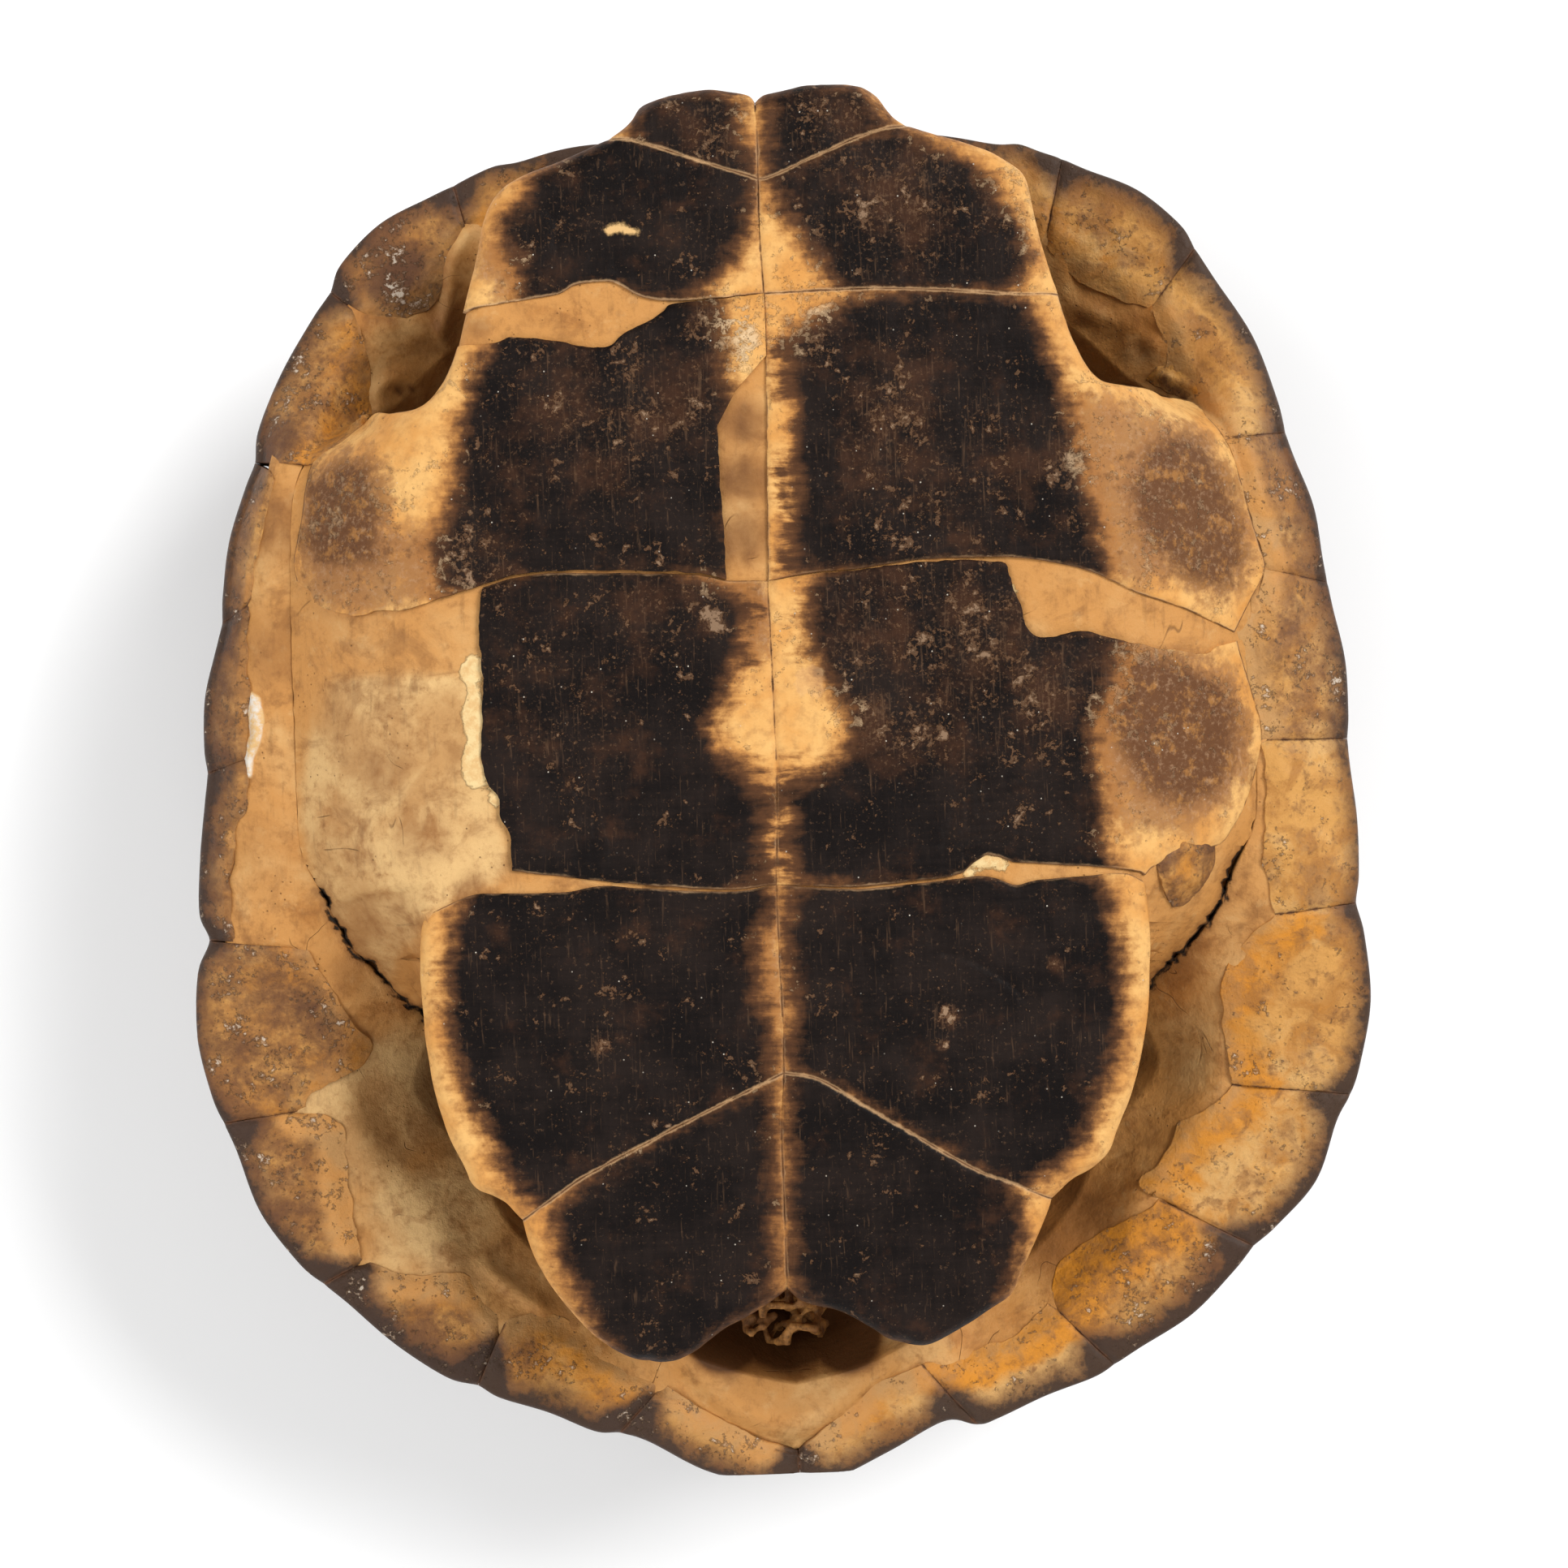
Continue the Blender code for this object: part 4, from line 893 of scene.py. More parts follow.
# %% Seams and breaks on the right side, in photo pixels
RIGHT = {
    "gular": {
        "head": ((930, 124), (940, 115), (955, 111), (1004, 101), (1055, 104), (1079, 113)),
        "side": ((1079, 113), (1098, 139), (1117, 153)),
        "tail": ((934, 221), (950, 218), (1010, 190), (1075, 163), (1117, 153)),
    },
    "humeral": {
        "side": (
            (1117, 153), (1150, 163), (1211, 181), (1239, 196), (1259, 210), (1268, 228), (1274, 257),
            (1283, 295), (1297, 339), (1305, 362),
        ),
        "tail": ((941, 362), (1000, 359), (1060, 356), (1150, 357), (1240, 362), (1305, 362)),
    },
    "pectoral": {
        "side": (
            (1305, 362), (1318, 404), (1333, 436), (1350, 460), (1371, 471), (1415, 478), (1438, 489),
            (1470, 496), (1491, 518), (1509, 541), (1523, 575), (1536, 619), (1549, 666), (1558, 701),
            (1540, 740), (1521, 779),
        ),
        "tail": (
            (946, 716), (1000, 706), (1060, 700), (1130, 690), (1190, 687), (1260, 688), (1340, 703),
            (1400, 730), (1460, 750), (1521, 779),
        ),
    },
    "abdominal": {
        "head": (
            (946, 716), (1000, 708), (1060, 702), (1130, 693), (1190, 690), (1236, 694), (1244, 708),
            (1247, 722), (1252, 735), (1259, 749), (1262, 770), (1278, 785), (1308, 782), (1339, 777),
            (1359, 785), (1410, 795), (1451, 802), (1487, 805), (1502, 797), (1524, 790),
        ),
        "side": (
            (1524, 790), (1532, 818), (1547, 870), (1554, 911), (1538, 980), (1514, 1027), (1498, 1042),
            (1455, 1052), (1424, 1066), (1411, 1078),
        ),
        "tail": (
            (957, 1090), (1050, 1093), (1130, 1085), (1183, 1077), (1206, 1057), (1227, 1052), (1247, 1062),
            (1339, 1067), (1400, 1073), (1411, 1078),
        ),
    },
    "femoral": {
        "head": (
            (957, 1090), (1050, 1095), (1130, 1088), (1183, 1082), (1206, 1079), (1227, 1082), (1252, 1090),
            (1278, 1084), (1339, 1079), (1385, 1076), (1411, 1086),
        ),
        "side": (
            (1411, 1086), (1416, 1118), (1419, 1161), (1418, 1200), (1416, 1250), (1407, 1304), (1395, 1350),
            (1377, 1396), (1368, 1420), (1346, 1441), (1321, 1455), (1297, 1478),
        ),
        "tail": (
            (966, 1322), (1010, 1330), (1070, 1365), (1130, 1400), (1200, 1440), (1240, 1455), (1297, 1478),
        ),
    },
    "anal": {
        "side": (
            (1297, 1478), (1291, 1496), (1280, 1523), (1267, 1553), (1248, 1595), (1221, 1614), (1195, 1632),
            (1168, 1648), (1141, 1659), (1114, 1658),
        ),
        "tail": (
            (970, 1590), (986, 1604), (1007, 1611), (1029, 1615), (1050, 1624), (1074, 1638), (1093, 1650),
            (1114, 1658),
        ),
    },
}
ORDER = ("gular", "humeral", "pectoral", "abdominal", "femoral", "anal")
BROKEN = {("left", "pectoral", "head"), ("left", "pectoral", "middle"), ("left", "pectoral", "tail")}
BROKEN |= {("left", "abdominal", "side"), ("right", "abdominal", "head")}
print("outlined on the right:", list(RIGHT))

# %% [markdown]
# ## Where the belly is black and brown
# The black of each shield is one closed outline, and so is the brown stain on the two bridge parts. A vertex
# stores how far inside it lies.

# %% Black parts, in photo pixels
DARK = {
    "gular_left": (
        (794, 128), (830, 115), (866, 112), (900, 118), (906, 140), (914, 180), (924, 228), (890, 214),
        (850, 200), (800, 184), (780, 168),
    ),
    "gular_right": (
        (950, 118), (975, 106), (1010, 102), (1045, 108), (1061, 118), (1073, 132), (1086, 154), (1046, 182),
        (1004, 202), (950, 228), (948, 170),
    ),
    "humeral_left": (
        (750, 170), (785, 166), (850, 188), (924, 214), (918, 253), (912, 291), (900, 315), (876, 339),
        (861, 358), (823, 370), (775, 360), (737, 352), (684, 368), (651, 368), (645, 348), (650, 325),
        (625, 300), (628, 272), (650, 255), (662, 222), (704, 196),
    ),
    "humeral_right": (
        (952, 214), (1003, 196), (1050, 176), (1100, 158), (1120, 168), (1187, 203), (1205, 217), (1224, 246),
        (1250, 283), (1262, 312), (1243, 356), (1140, 358), (1040, 355), (1012, 316), (988, 279), (965, 258),
    ),
    "pectoral_left": (
        (608, 430), (623, 410), (660, 409), (708, 417), (744, 417), (768, 402), (797, 378), (820, 362),
        (847, 360), (876, 372), (880, 401), (886, 425), (880, 450), (893, 480), (898, 503), (900, 600),
        (900, 712), (850, 710), (756, 710), (640, 716), (590, 728), (548, 724), (540, 680), (562, 628),
        (574, 580), (571, 545), (580, 506), (592, 465),
    ),
    "pectoral_right": (
        (1068, 366), (1149, 362), (1243, 364), (1264, 376), (1272, 402), (1290, 449), (1309, 500),
        (1319, 552),
        (1333, 609), (1347, 666), (1358, 704), (1310, 704), (1224, 694), (1149, 696), (1054, 704), (985, 704),
        (975, 660), (985, 610), (975, 560), (980, 515), (975, 470), (975, 440), (985, 415), (1021, 392),
    ),
    "abdominal_left": (
        (582, 712), (660, 702), (737, 694), (804, 696), (860, 718), (925, 745), (915, 790), (900, 815),
        (886, 852), (863, 898), (884, 940), (924, 966), (948, 985), (945, 1030), (945, 1092), (852, 1100),
        (756, 1096), (680, 1090), (620, 1084), (616, 1038), (602, 1010), (594, 985), (578, 950), (576, 841),
        (576, 770),
    ),
    "abdominal_right": (
        (1002, 728), (1054, 692), (1125, 680), (1224, 676), (1258, 702), (1254, 730), (1274, 752),
        (1284, 774),
        (1338, 766), (1376, 786), (1362, 839), (1340, 886), (1340, 933), (1348, 980), (1353, 1018),
        (1362, 1066),
        (1338, 1076), (1224, 1066), (1177, 1086), (1078, 1091), (988, 1091), (968, 1060), (966, 975),
        (1010, 958),
        (1035, 943), (1060, 905), (1054, 872), (1031, 837), (1007, 795),
    ),
    "femoral_left": (
        (590, 1090), (660, 1089), (756, 1084), (852, 1084), (943, 1084), (948, 1128), (925, 1170),
        (930, 1220),
        (943, 1272), (950, 1310), (946, 1350), (908, 1367), (812, 1420), (716, 1479), (682, 1490),
        (637, 1455),
        (613, 1406), (584, 1348), (566, 1310), (560, 1262), (558, 1200), (565, 1147), (576, 1105),
    ),
    "femoral_right": (
        (972, 1092), (1078, 1078), (1182, 1077), (1281, 1074), (1340, 1076), (1356, 1096), (1368, 1145),
        (1376, 1195), (1375, 1261), (1364, 1313), (1347, 1356), (1323, 1408), (1286, 1444), (1255, 1464),
        (1216, 1448), (1141, 1401), (1046, 1346), (982, 1319), (975, 1288), (985, 1230), (975, 1180),
    ),
    "anal_left": (
        (947, 1336), (950, 1487), (950, 1592), (930, 1612), (878, 1646), (848, 1671), (794, 1680),
        (760, 1664),
        (740, 1628), (713, 1580), (694, 1537), (688, 1500), (716, 1458), (794, 1413), (892, 1363),
    ),
    "anal_right": (
        (974, 1304), (988, 1300), (1062, 1336), (1157, 1398), (1234, 1446), (1246, 1474), (1254, 1505),
        (1250, 1545), (1234, 1592), (1210, 1632), (1172, 1660), (1128, 1662), (1080, 1647), (1038, 1620),
        (985, 1600), (978, 1560), (979, 1436),
    ),
}
print("black parts:", len(DARK))

# %% [markdown]
# ## Patches, wrinkles and worn spots
# The bridge shields are brown or dun where the black has worn thin, and single chips and wrinkles show on
# some shields. Worn spots say where crumbs of dried skin gather, and on the right humeral they also lighten
# the black as a painted sheen: a pixel, a radius and a strength each.

# %% Brown and dun patches, chips and wrinkles, in photo pixels
BROWN_PARTS = {
    "pectoral_left": (
        (373, 590), (430, 560), (465, 570), (475, 640), (470, 700), (450, 700), (400, 705), (372, 680),
    ),
    "pectoral_right": (
        (1410, 545), (1440, 530), (1475, 530), (1500, 560), (1520, 600), (1535, 650), (1540, 690),
        (1525, 720),
        (1500, 735), (1460, 720), (1420, 690), (1395, 650), (1385, 600),
    ),
    "abdominal_right": (
        (1370, 800), (1420, 800), (1480, 815), (1515, 840), (1530, 880), (1530, 920), (1520, 950),
        (1500, 985),
        (1460, 1000), (1420, 990), (1390, 960), (1370, 920), (1350, 880),
    ),
    "abdominal_left": ((804, 712), (870, 712), (938, 730), (938, 785), (905, 793), (860, 770)),
}
DUN_PARTS = {
    "pectoral_left": (
        (369, 650), (470, 640), (500, 655), (545, 650), (560, 720), (510, 745), (430, 756), (380, 740),
    ),
    "pectoral_right": (
        (1309, 500), (1370, 490), (1440, 520), (1440, 700), (1400, 725), (1350, 700), (1330, 600),
    ),
    "abdominal_right": (
        (1350, 780), (1480, 810), (1535, 870), (1540, 950), (1500, 1005), (1440, 1030), (1370, 1010),
        (1335, 900),
    ),
    "abdominal_left": ((780, 705), (946, 716), (950, 800), (900, 830), (870, 800)),
    "humeral_left": ((598, 300), (640, 290), (655, 320), (650, 362), (612, 370), (592, 340)),
    "femoral_left": ((935, 1095), (957, 1095), (965, 1320), (940, 1330), (925, 1200)),
    "femoral_right": ((957, 1095), (985, 1100), (990, 1280), (966, 1320)),
    "anal_left": ((948, 1340), (963, 1330), (970, 1590), (946, 1590)),
    "anal_right": ((963, 1330), (980, 1340), (984, 1590), (970, 1590)),
}
CHIPS = {
    "humeral_left": ((740, 284), (752, 277), (768, 275), (788, 284), (786, 290), (765, 289), (750, 291)),
    "abdominal_right": (
        (984, 824), (1000, 818), (1014, 824), (1016, 850), (1008, 862), (996, 856), (986, 858), (978, 842),
    ),
}
WRINKLES = {  # fine lines pressed into the horn
    "femoral_right": (((1163, 1174), (1195, 1182), (1224, 1197), (1247, 1213), (1262, 1230)),),
    "humeral_left": (((675, 262), (688, 275), (684, 292), (687, 305)),),
    "abdominal_left": (
        ((700, 985), (706, 1020), (690, 1050)), ((712, 975), (720, 1015), (712, 1060)),
        ((724, 985), (734, 1020), (730, 1062)), ((690, 1005), (682, 1030), (672, 1050)),
        ((738, 1000), (752, 1030), (755, 1055)),
    ),
    "abdominal_right": (
        ((1190, 965), (1192, 1010), (1184, 1044)), ((1202, 960), (1207, 1008), (1204, 1048)),
        ((1215, 965), (1223, 1005), (1226, 1040)), ((1181, 975), (1172, 1015), (1164, 1040)),
        ((1257, 962), (1255, 1005), (1259, 1050)),
    ),
}
STREAKS = {
    "pectoral_right": 1.0, "abdominal_left": 0.9, "abdominal_right": 0.9, "femoral_left": 0.3,
    "femoral_right": 0.35,
}
print("brown:", len(BROWN_PARTS), "dun:", len(DUN_PARTS), "wrinkled:", len(WRINKLES))

# %% Worn spots, some of them a painted sheen
PIXEL_MM = 0.1  # about what a photo pixel covers on the shell
WORN_AND_SHEEN_SPOTS = (
    ((800, 515), 60, 2.4), ((850, 505), 35, 2.6), ((690, 490), 30, 2.2), ((1090, 520), 45, 2.6),
    ((1168, 1252), 22, 3.6), ((740, 1290), 18, 3.0), ((1163, 1287), 10, 3.0), ((1298, 1187), 14, 3.0),
    ((880, 765), 30, 2.0), ((740, 520), 150, 1.5), ((850, 500), 60, 1.6), ((640, 560), 90, 1.0),
    ((1100, 510), 110, 1.6), ((1200, 560), 110, 1.1), ((1120, 600), 120, 1.2), ((1090, 290), 110, 1.0),
    ((1290, 280), 60, 0.9), ((870, 320), 70, 0.6), ((700, 240), 90, 0.5), ((560, 690), 90, 1.7),
    ((700, 880), 110, 1.2), ((800, 760), 110, 1.1), ((660, 800), 70, 0.8), ((860, 730), 60, 1.2),
    ((1080, 760), 110, 1.6), ((1180, 850), 120, 1.5), ((1120, 900), 90, 1.4), ((1300, 850), 100, 1.8),
    ((1400, 860), 110, 2.0), ((1420, 640), 130, 1.5), ((430, 640), 110, 1.6), ((1340, 560), 80, 1.7),
    ((1000, 420), 60, 1.6), ((890, 400), 60, 2.2), ((740, 1270), 40, 0.7), ((1165, 1250), 40, 1.0),
    ((1020, 300), 60, 1.1), ((630, 330), 50, 1.8), ((1050, 880), 60, 1.3), ((1040, 160), 70, 1.6),
    ((860, 160), 60, 0.9), ((1120, 250), 110, 2.1), ((1010, 150), 70, 1.8), ((1230, 250), 60, 1.8),
    ((870, 160), 60, 1.5), ((1050, 800), 50, 2.2), ((905, 400), 50, 3.2), ((925, 430), 35, 3.2),
    ((1010, 390), 40, 2.6), ((985, 320), 40, 2.6), ((1075, 880), 40, 3.0), ((1075, 905), 30, 2.6),
    ((1200, 780), 110, 2.2), ((1290, 850), 60, 2.2), ((1000, 330), 40, 2.4), ((640, 320), 25, 3.0),
    ((800, 735), 40, 1.4),
)


def from_seen(x, y, pixels, surface, per_span=4):
    """Distance of plan points from a line of photo pixels."""
    return line_distance(x, y, spline(seen_on(surface, pixels), per_span))


def worn_at(x, y, spots, surface):
    """How worn each plan point is, from spots given as a pixel, a radius in pixels and a strength."""
    total = np.zeros(np.shape(x))
    for pixel, radius, strength in spots:
        centre = seen_on(surface, pixel)
        distance = np.hypot(x - centre[0], y - centre[1]) / (radius * PIXEL_MM)
        total = np.maximum(total, strength * (1 - step(distance, 0.2, 1.25)))
    return total


print("worn spots:", len(WORN_AND_SHEEN_SPOTS))

# %% [markdown]
# ## The belly shields
# A shield is a patch between its four edges, laid on the bone and rounded where it ends. On the free lobes
# the horn wraps down over the plate's edge, at a seam it dips into a narrow groove, and at a break it stays
# a sharp step as thick as the horn. Fine ridges show how it grew. Where an edge is much longer than the one
# across from it, pairs of matched places keep the rows of faces from running into each other.

# %% Sizes of the belly shields
WRAP = 2.2  # how far in from a free edge the horn starts to bend down
SEAM_WIDTH, SEAM_DEPTH = 0.55, 0.28  # of the groove between two shields
FREE_EDGES = {
    "gular": ("head", "side"), "humeral": ("side",), "pectoral": (), "abdominal": (), "femoral": ("side",),
    "anal": ("side", "tail"),
}
ON_BRIDGE = {"pectoral", "abdominal"}
SEAM_PALE = {  # how pale the seam at the tail of each shield is, and the one along the middle
    "gular": 1.3, "humeral": 1.2, "pectoral": 0.35, "abdominal": 0.4, "femoral": 1.0, "anal": 1.0,
    "middle": 0.35,
}
SIDE_PALE = 0.3
BROKEN_EDGE, GROWN_EDGE = (0.22, 1.4), (0.10, 2.5)  # how far an edge strays, and in bumps of what size
MATCHES = {  # pairs of places on opposite edges of the shields that are bent or broken most
    "abdominal_right": (
        ((0, 0.624, 0.674, 1), (0, 0.385, 0.646, 1)),
        ((0, 0.021, 0.686, 1), (0, 0.174, 0.387, 1)),
    ),
    "pectoral_right": (EVEN, ((0, 0.17, 0.462, 1), (0, 0.317, 0.773, 1))),
    "pectoral_left": (EVEN, ((0, 0.03, 0.377, 1), (0, 0.497, 0.839, 1))),
}

# %% Edges of a belly shield
def edge_line(side, name, key, surface):
    """An edge of a shield in plan, smooth where it grew and ragged where it broke."""
    outlines = LEFT if side == "left" else RIGHT
    number = ORDER.index(name)
    if key == "head" and "head" not in outlines[name]:
        pixels = outlines[ORDER[number - 1]]["tail"]
    elif key == "middle":
        pixels = outlines[name].get("middle", MIDDLE[name])
    else:
        pixels = outlines[name][key]
    line = spline(seen_on(surface, pixels), 6)
    waver, size = BROKEN_EDGE if (side, name, key) in BROKEN else GROWN_EDGE
    return ragged(line, waver, size, seed=number + 20 * (side == "left"))


def wrapped(distance, radius):
    """How far a surface bends down within a radius of its free edge."""
    near = np.clip(distance, 0, radius)
    return radius - np.sqrt(np.maximum(0, radius**2 - (radius - near) ** 2))


def outline_depth(x, y, surface, parts, node):
    """How far inside a drawn part of a shield each point lies, or far outside if the shield has none."""
    if node not in parts:
        return np.full(np.shape(x), -30.0)
    return inside_by(x, y, seen_on(surface, parts[node]))


print("front edge of a gular:", round(along(edge_line("left", "gular", "head", soft_lobe))[-1], 1), "mm")

# %% Shape a belly shield
def belly_shield(side, name):
    node = f"{name}_{side}"
    surface = soft_bridge if name in ON_BRIDGE else soft_lobe
    lines = {key: edge_line(side, name, key, surface) for key in ("head", "tail", "middle", "side")}
    columns, rows = MATCHES.get(node, (EVEN, EVEN))
    plan = patch(lines["head"], lines["tail"], lines["middle"], lines["side"], 0.5, columns, rows)
    x, y = plan[..., 0], plan[..., 1]
    away = {key: line_distance(x, y, line) for key, line in lines.items()}
    free = [away[key] for key in FREE_EDGES[name]]
    if name == "pectoral":
        lobe_part = lines["side"][lines["side"][:, 1] > 47.2]
        free = [line_distance(x, y, lobe_part)]
    height = surface(x, y) + HORN
    keys = [key for key in lines if key not in FREE_EDGES[name] and (side, name, key) not in BROKEN]
    before = ORDER[max(0, ORDER.index(name) - 1)]
    paleness = {"head": SEAM_PALE[before], "tail": SEAM_PALE[name], "middle": SEAM_PALE["middle"]}
    paleness["side"] = SIDE_PALE
    distances = np.array([away[key] for key in keys])
    seam = distances.min(axis=0)
    pale = np.array([paleness[key] for key in keys])[distances.argmin(axis=0)]
    for distance in free:
        height = height - wrapped(distance, WRAP)
    height = height - SEAM_DEPTH * (1 - step(seam, 0.0, SEAM_WIDTH))
    grown = noise(away["middle"], away["tail"] * 0.15, 0.8, 3, 2) * 0.05 + noise(x, y, 6.0, 5, 3) * 0.12
    height = height + grown * step(seam, 0.2, 1.0)
    for wrinkle in WRINKLES.get(node, ()):
        across = from_seen(x, y, wrinkle, surface)
        height = height - 0.22 * np.exp(-((across / 0.4) ** 2))
    fields = {
        "dark": outline_depth(x, y, surface, DARK, node),
        "brown": outline_depth(x, y, surface, BROWN_PARTS, node),
        "dun": outline_depth(x, y, surface, DUN_PARTS, node),
        "chip": outline_depth(x, y, surface, CHIPS, node),
        "worn": worn_at(x, y, WORN_AND_SHEEN_SPOTS, surface), "seam": seam, "pale": pale,
        "streak": STREAKS.get(node, 0.15) * (1 - step(away["middle"], 1.5, 6.5)),
    }
    points = np.dstack([x, y, height])
    return grid_piece(points, fields, f"{node}_horn", [node], belly_horn, HORN)


for side in ("left", "right"):
    for name in ORDER:
        piece = belly_shield(side, name)
    print(side, "belly shields made, last has", len(piece.data.polygons), "faces")

# %% [markdown]
# ## The belly plate of bone
# Under the horn lies the plastron, a plate 3 mm thick that fills the whole outline of the belly shields and
# the bare part of the left bridge. It is one patch, a little smaller than its shields at the free lobes, and
# at the rear of the bridge it stops short of the carapace in a toothed gap, the suture. Extruding the patch
# straight down gives it its thickness: that keeps the walls of the gap upright, where Solidify would lean.

# %% Outline of the belly plate
PLATE = 3.2  # thickness of the belly bone
FAR_OUTSIDE = -9.0  # stands for a crust that a bone doesn't have
LOBE_DRAWN_IN = 0.4  # how far it stays inside the edge of its shields
SUTURE_GAP = (0.0, 0.18)  # how far the plate's wings stop short of the joint, in front and at the rear


def joint_part(side, high, low):
    """The suture between the two bones along one side of the bridge; only its rear part has teeth."""
    sign = -1 if side == "left" else 1
    smooth = spline([(sign * x, y) for x, y, _ in JOINT[::-1] if low < y < high], 6)
    rough = ragged(smooth, 1.1, 0.7, seed=50 + sign)
    even = at(smooth, np.linspace(0, along(smooth)[-1], len(rough)))
    teeth = 0.12 + 0.88 * step(-even[:, 1], 5.0, 11.0)
    return even + (rough - even) * teeth[:, None]


def plate_side(side):
    """The outline of the plate on one side, from its front corner to its rear corner."""
    outlines = LEFT if side == "left" else RIGHT
    front = [*outlines["gular"]["side"], *outlines["humeral"]["side"][1:]]
    lobe_end = [pixel for pixel in outlines["pectoral"]["side"] if pixel[1] < 495]
    rear = [*outlines["femoral"]["side"][1 if side == "left" else 0 :], *outlines["anal"]["side"][1:]]
    front_line = spline(seen_on(soft_bridge, front + lobe_end[1:]), 4)
    rear_line = spline(seen_on(soft_lobe, [pixel for pixel in rear if pixel[1] > 1210]), 4)
    return np.vstack([front_line, joint_part(side, 44.0, -29.4), rear_line])


def pushed_in(line, amount):
    """A line moved towards the middle of the shell, by one amount or one for each point."""
    run = np.gradient(line, axis=0)
    normal = np.stack([-run[:, 1], run[:, 0]], -1) / np.maximum(np.linalg.norm(run, axis=1), 1e-6)[:, None]
    inwards = np.sign(-(normal * (line + 1e-6)).sum(1))
    return line + normal * (inwards * amount)[:, None]


print("outline of the plate, one side:", len(plate_side("left")), "points")

# %% Marks on the belly plate, in photo pixels
CREAM_CRUSTS = (
    (
        (567, 812), (577, 808), (596, 806), (598, 900), (598, 945), (618, 983), (620, 1000), (604, 990),
        (598, 970), (574, 973), (570, 940), (576, 910), (569, 880), (578, 850), (567, 830),
    ),
    (
        (1188, 1076), (1195, 1062), (1210, 1053), (1228, 1053), (1242, 1062), (1240, 1072), (1225, 1070),
        (1212, 1068), (1202, 1074), (1196, 1086),
    ),
    ((1244, 722), (1252, 718), (1262, 735), (1264, 756), (1256, 764), (1249, 750)),
)
REAR_PANEL = (
    (350, 1120), (407, 1109), (436, 1100), (460, 1094), (490, 1093), (512, 1097), (523, 1128), (530, 1180),
    (530, 1260), (470, 1260), (400, 1180),
)
PANEL_DROP = 1.3  # in millimetres
PLATE_AMBER = (((520, 1030), 50, 0.5), ((480, 1100), 40, 0.5), ((680, 395), 70, 0.25), ((400, 990), 50, 0.35))
BARE_PATCH = (
    (400, 835), (590, 835), (595, 945), (630, 1073), (522, 1129), (480, 1200), (400, 1160), (370, 1000),
)
BONE_SEAM = ((396, 838), (450, 826), (520, 832), (590, 824))
BONE_STAINS = (
    ((915, 660), 60, 0.85), ((915, 590), 60, 0.85), ((915, 520), 50, 0.85), ((470, 955), 55, 0.55),
    ((520, 1035), 60, 0.6), ((580, 1090), 40, 0.5), ((700, 362), 30, 0.2), ((590, 405), 22, 0.6),
)
print("cream crusts:", len(CREAM_CRUSTS), "bone stains:", len(BONE_STAINS))

# %% Shape the belly plate
def belly_plate():
    ends = []
    for name, key in (("gular", "head"), ("anal", "tail")):
        halves = [edge_line(side, name, key, soft_lobe) for side in ("left", "right")]
        ends.append(pushed_in(np.vstack([halves[0][::-1], halves[1][1:]]), LOBE_DRAWN_IN))
    sides = []
    for side in ("left", "right"):
        line = plate_side(side)
        gap = SUTURE_GAP[0] + (SUTURE_GAP[1] - SUTURE_GAP[0]) * step(-line[:, 1], 6.0, 13.0)
        at_joint = (line[:, 1] > -29.6) & (line[:, 1] < 44) & (np.abs(line[:, 0]) > 45.6)
        line = pushed_in(line, np.where(at_joint, gap, LOBE_DRAWN_IN))
        line[0], line[-1] = (end[0 if side == "left" else -1] for end in ends)
        sides.append(line)
    plan = patch(*ends, *sides, 0.72)
    x, y = plan[..., 0], plan[..., 1]
    distance = np.min([line_distance(x, y, line) for line in (*ends, *sides)], axis=0)
    at_joint = ((y > -31) & (y < 46) & (np.abs(x) > 45)) * 1.0
    bumps = noise(x, y, 9.0, 11, 3) * 0.25 + noise(x, y, 1.6, 12, 2) * 0.05
    height = soft_bridge(x, y) - (1 - at_joint) * wrapped(distance, WRAP - 0.2)
    height = height + np.minimum(bumps, 0.12) * step(distance, 0.5, 3.0)
    rear_joint = at_joint * step(-y, 6.0, 13.0)
    height = height - (0.04 + 0.3 * rear_joint) * (1 - step(distance, 0.0, 0.8)) * at_joint
    cream = np.max([inside_by(x, y, seen_on(soft_bridge, crust)) for crust in CREAM_CRUSTS], axis=0)
    height = height + 0.4 * step(cream, 0.0, 0.45)
    panel = inside_by(x, y, seen_on(soft_bridge, REAR_PANEL))
    height = height - PANEL_DROP * step(panel, 0.0, 0.9) * step(distance, 0.0, 3.0)
    pale = inside_by(x, y, seen_on(soft_bridge, BARE_PATCH))
    seam = from_seen(x, y, BONE_SEAM, soft_bridge)
    height = height - 0.18 * (1 - step(seam, 0.0, 0.8))
    toothed = np.where(rear_joint > 0.5, distance, 9.0)
    stains = worn_at(x, y, BONE_STAINS, soft_bridge)
    # On the lowered rear panel the brown is painted shade, where it slopes down into the pocket; the stains
    # are real.
    fields = {
        "tan": 0.85 - 0.8 * step(pale, -1.5, 2.0), "stain_and_shade": np.maximum(stains, 0.5 * step(panel, -0.3, 1.0)),
        "suture": np.minimum(seam * 1.5 + 0.45, toothed), "cream": cream,
        "glue": np.full(np.shape(x), FAR_OUTSIDE),
        "amber": worn_at(x, y, PLATE_AMBER, soft_bridge),
    }
    plate = grid_piece(np.dstack([x, y, height]), fields, "belly_plate", ["plastron_bone"], bone)
    sheet = bmesh.new()
    sheet.from_mesh(plate.data)
    under = bmesh.ops.extrude_face_region(sheet, geom=sheet.faces[:], use_keep_orig=True)
    lowered = [part for part in under["geom"] if isinstance(part, bmesh.types.BMVert)]
    bmesh.ops.translate(sheet, vec=(0.0, 0.0, -PLATE * MM), verts=lowered)
    bmesh.ops.recalc_face_normals(sheet, faces=sheet.faces)
    sheet.to_mesh(plate.data)
    sheet.free()
    plate.data.set_sharp_from_angle(angle=math.radians(50))
    return plate


plate = belly_plate()
print("plate faces:", len(plate.data.polygons))

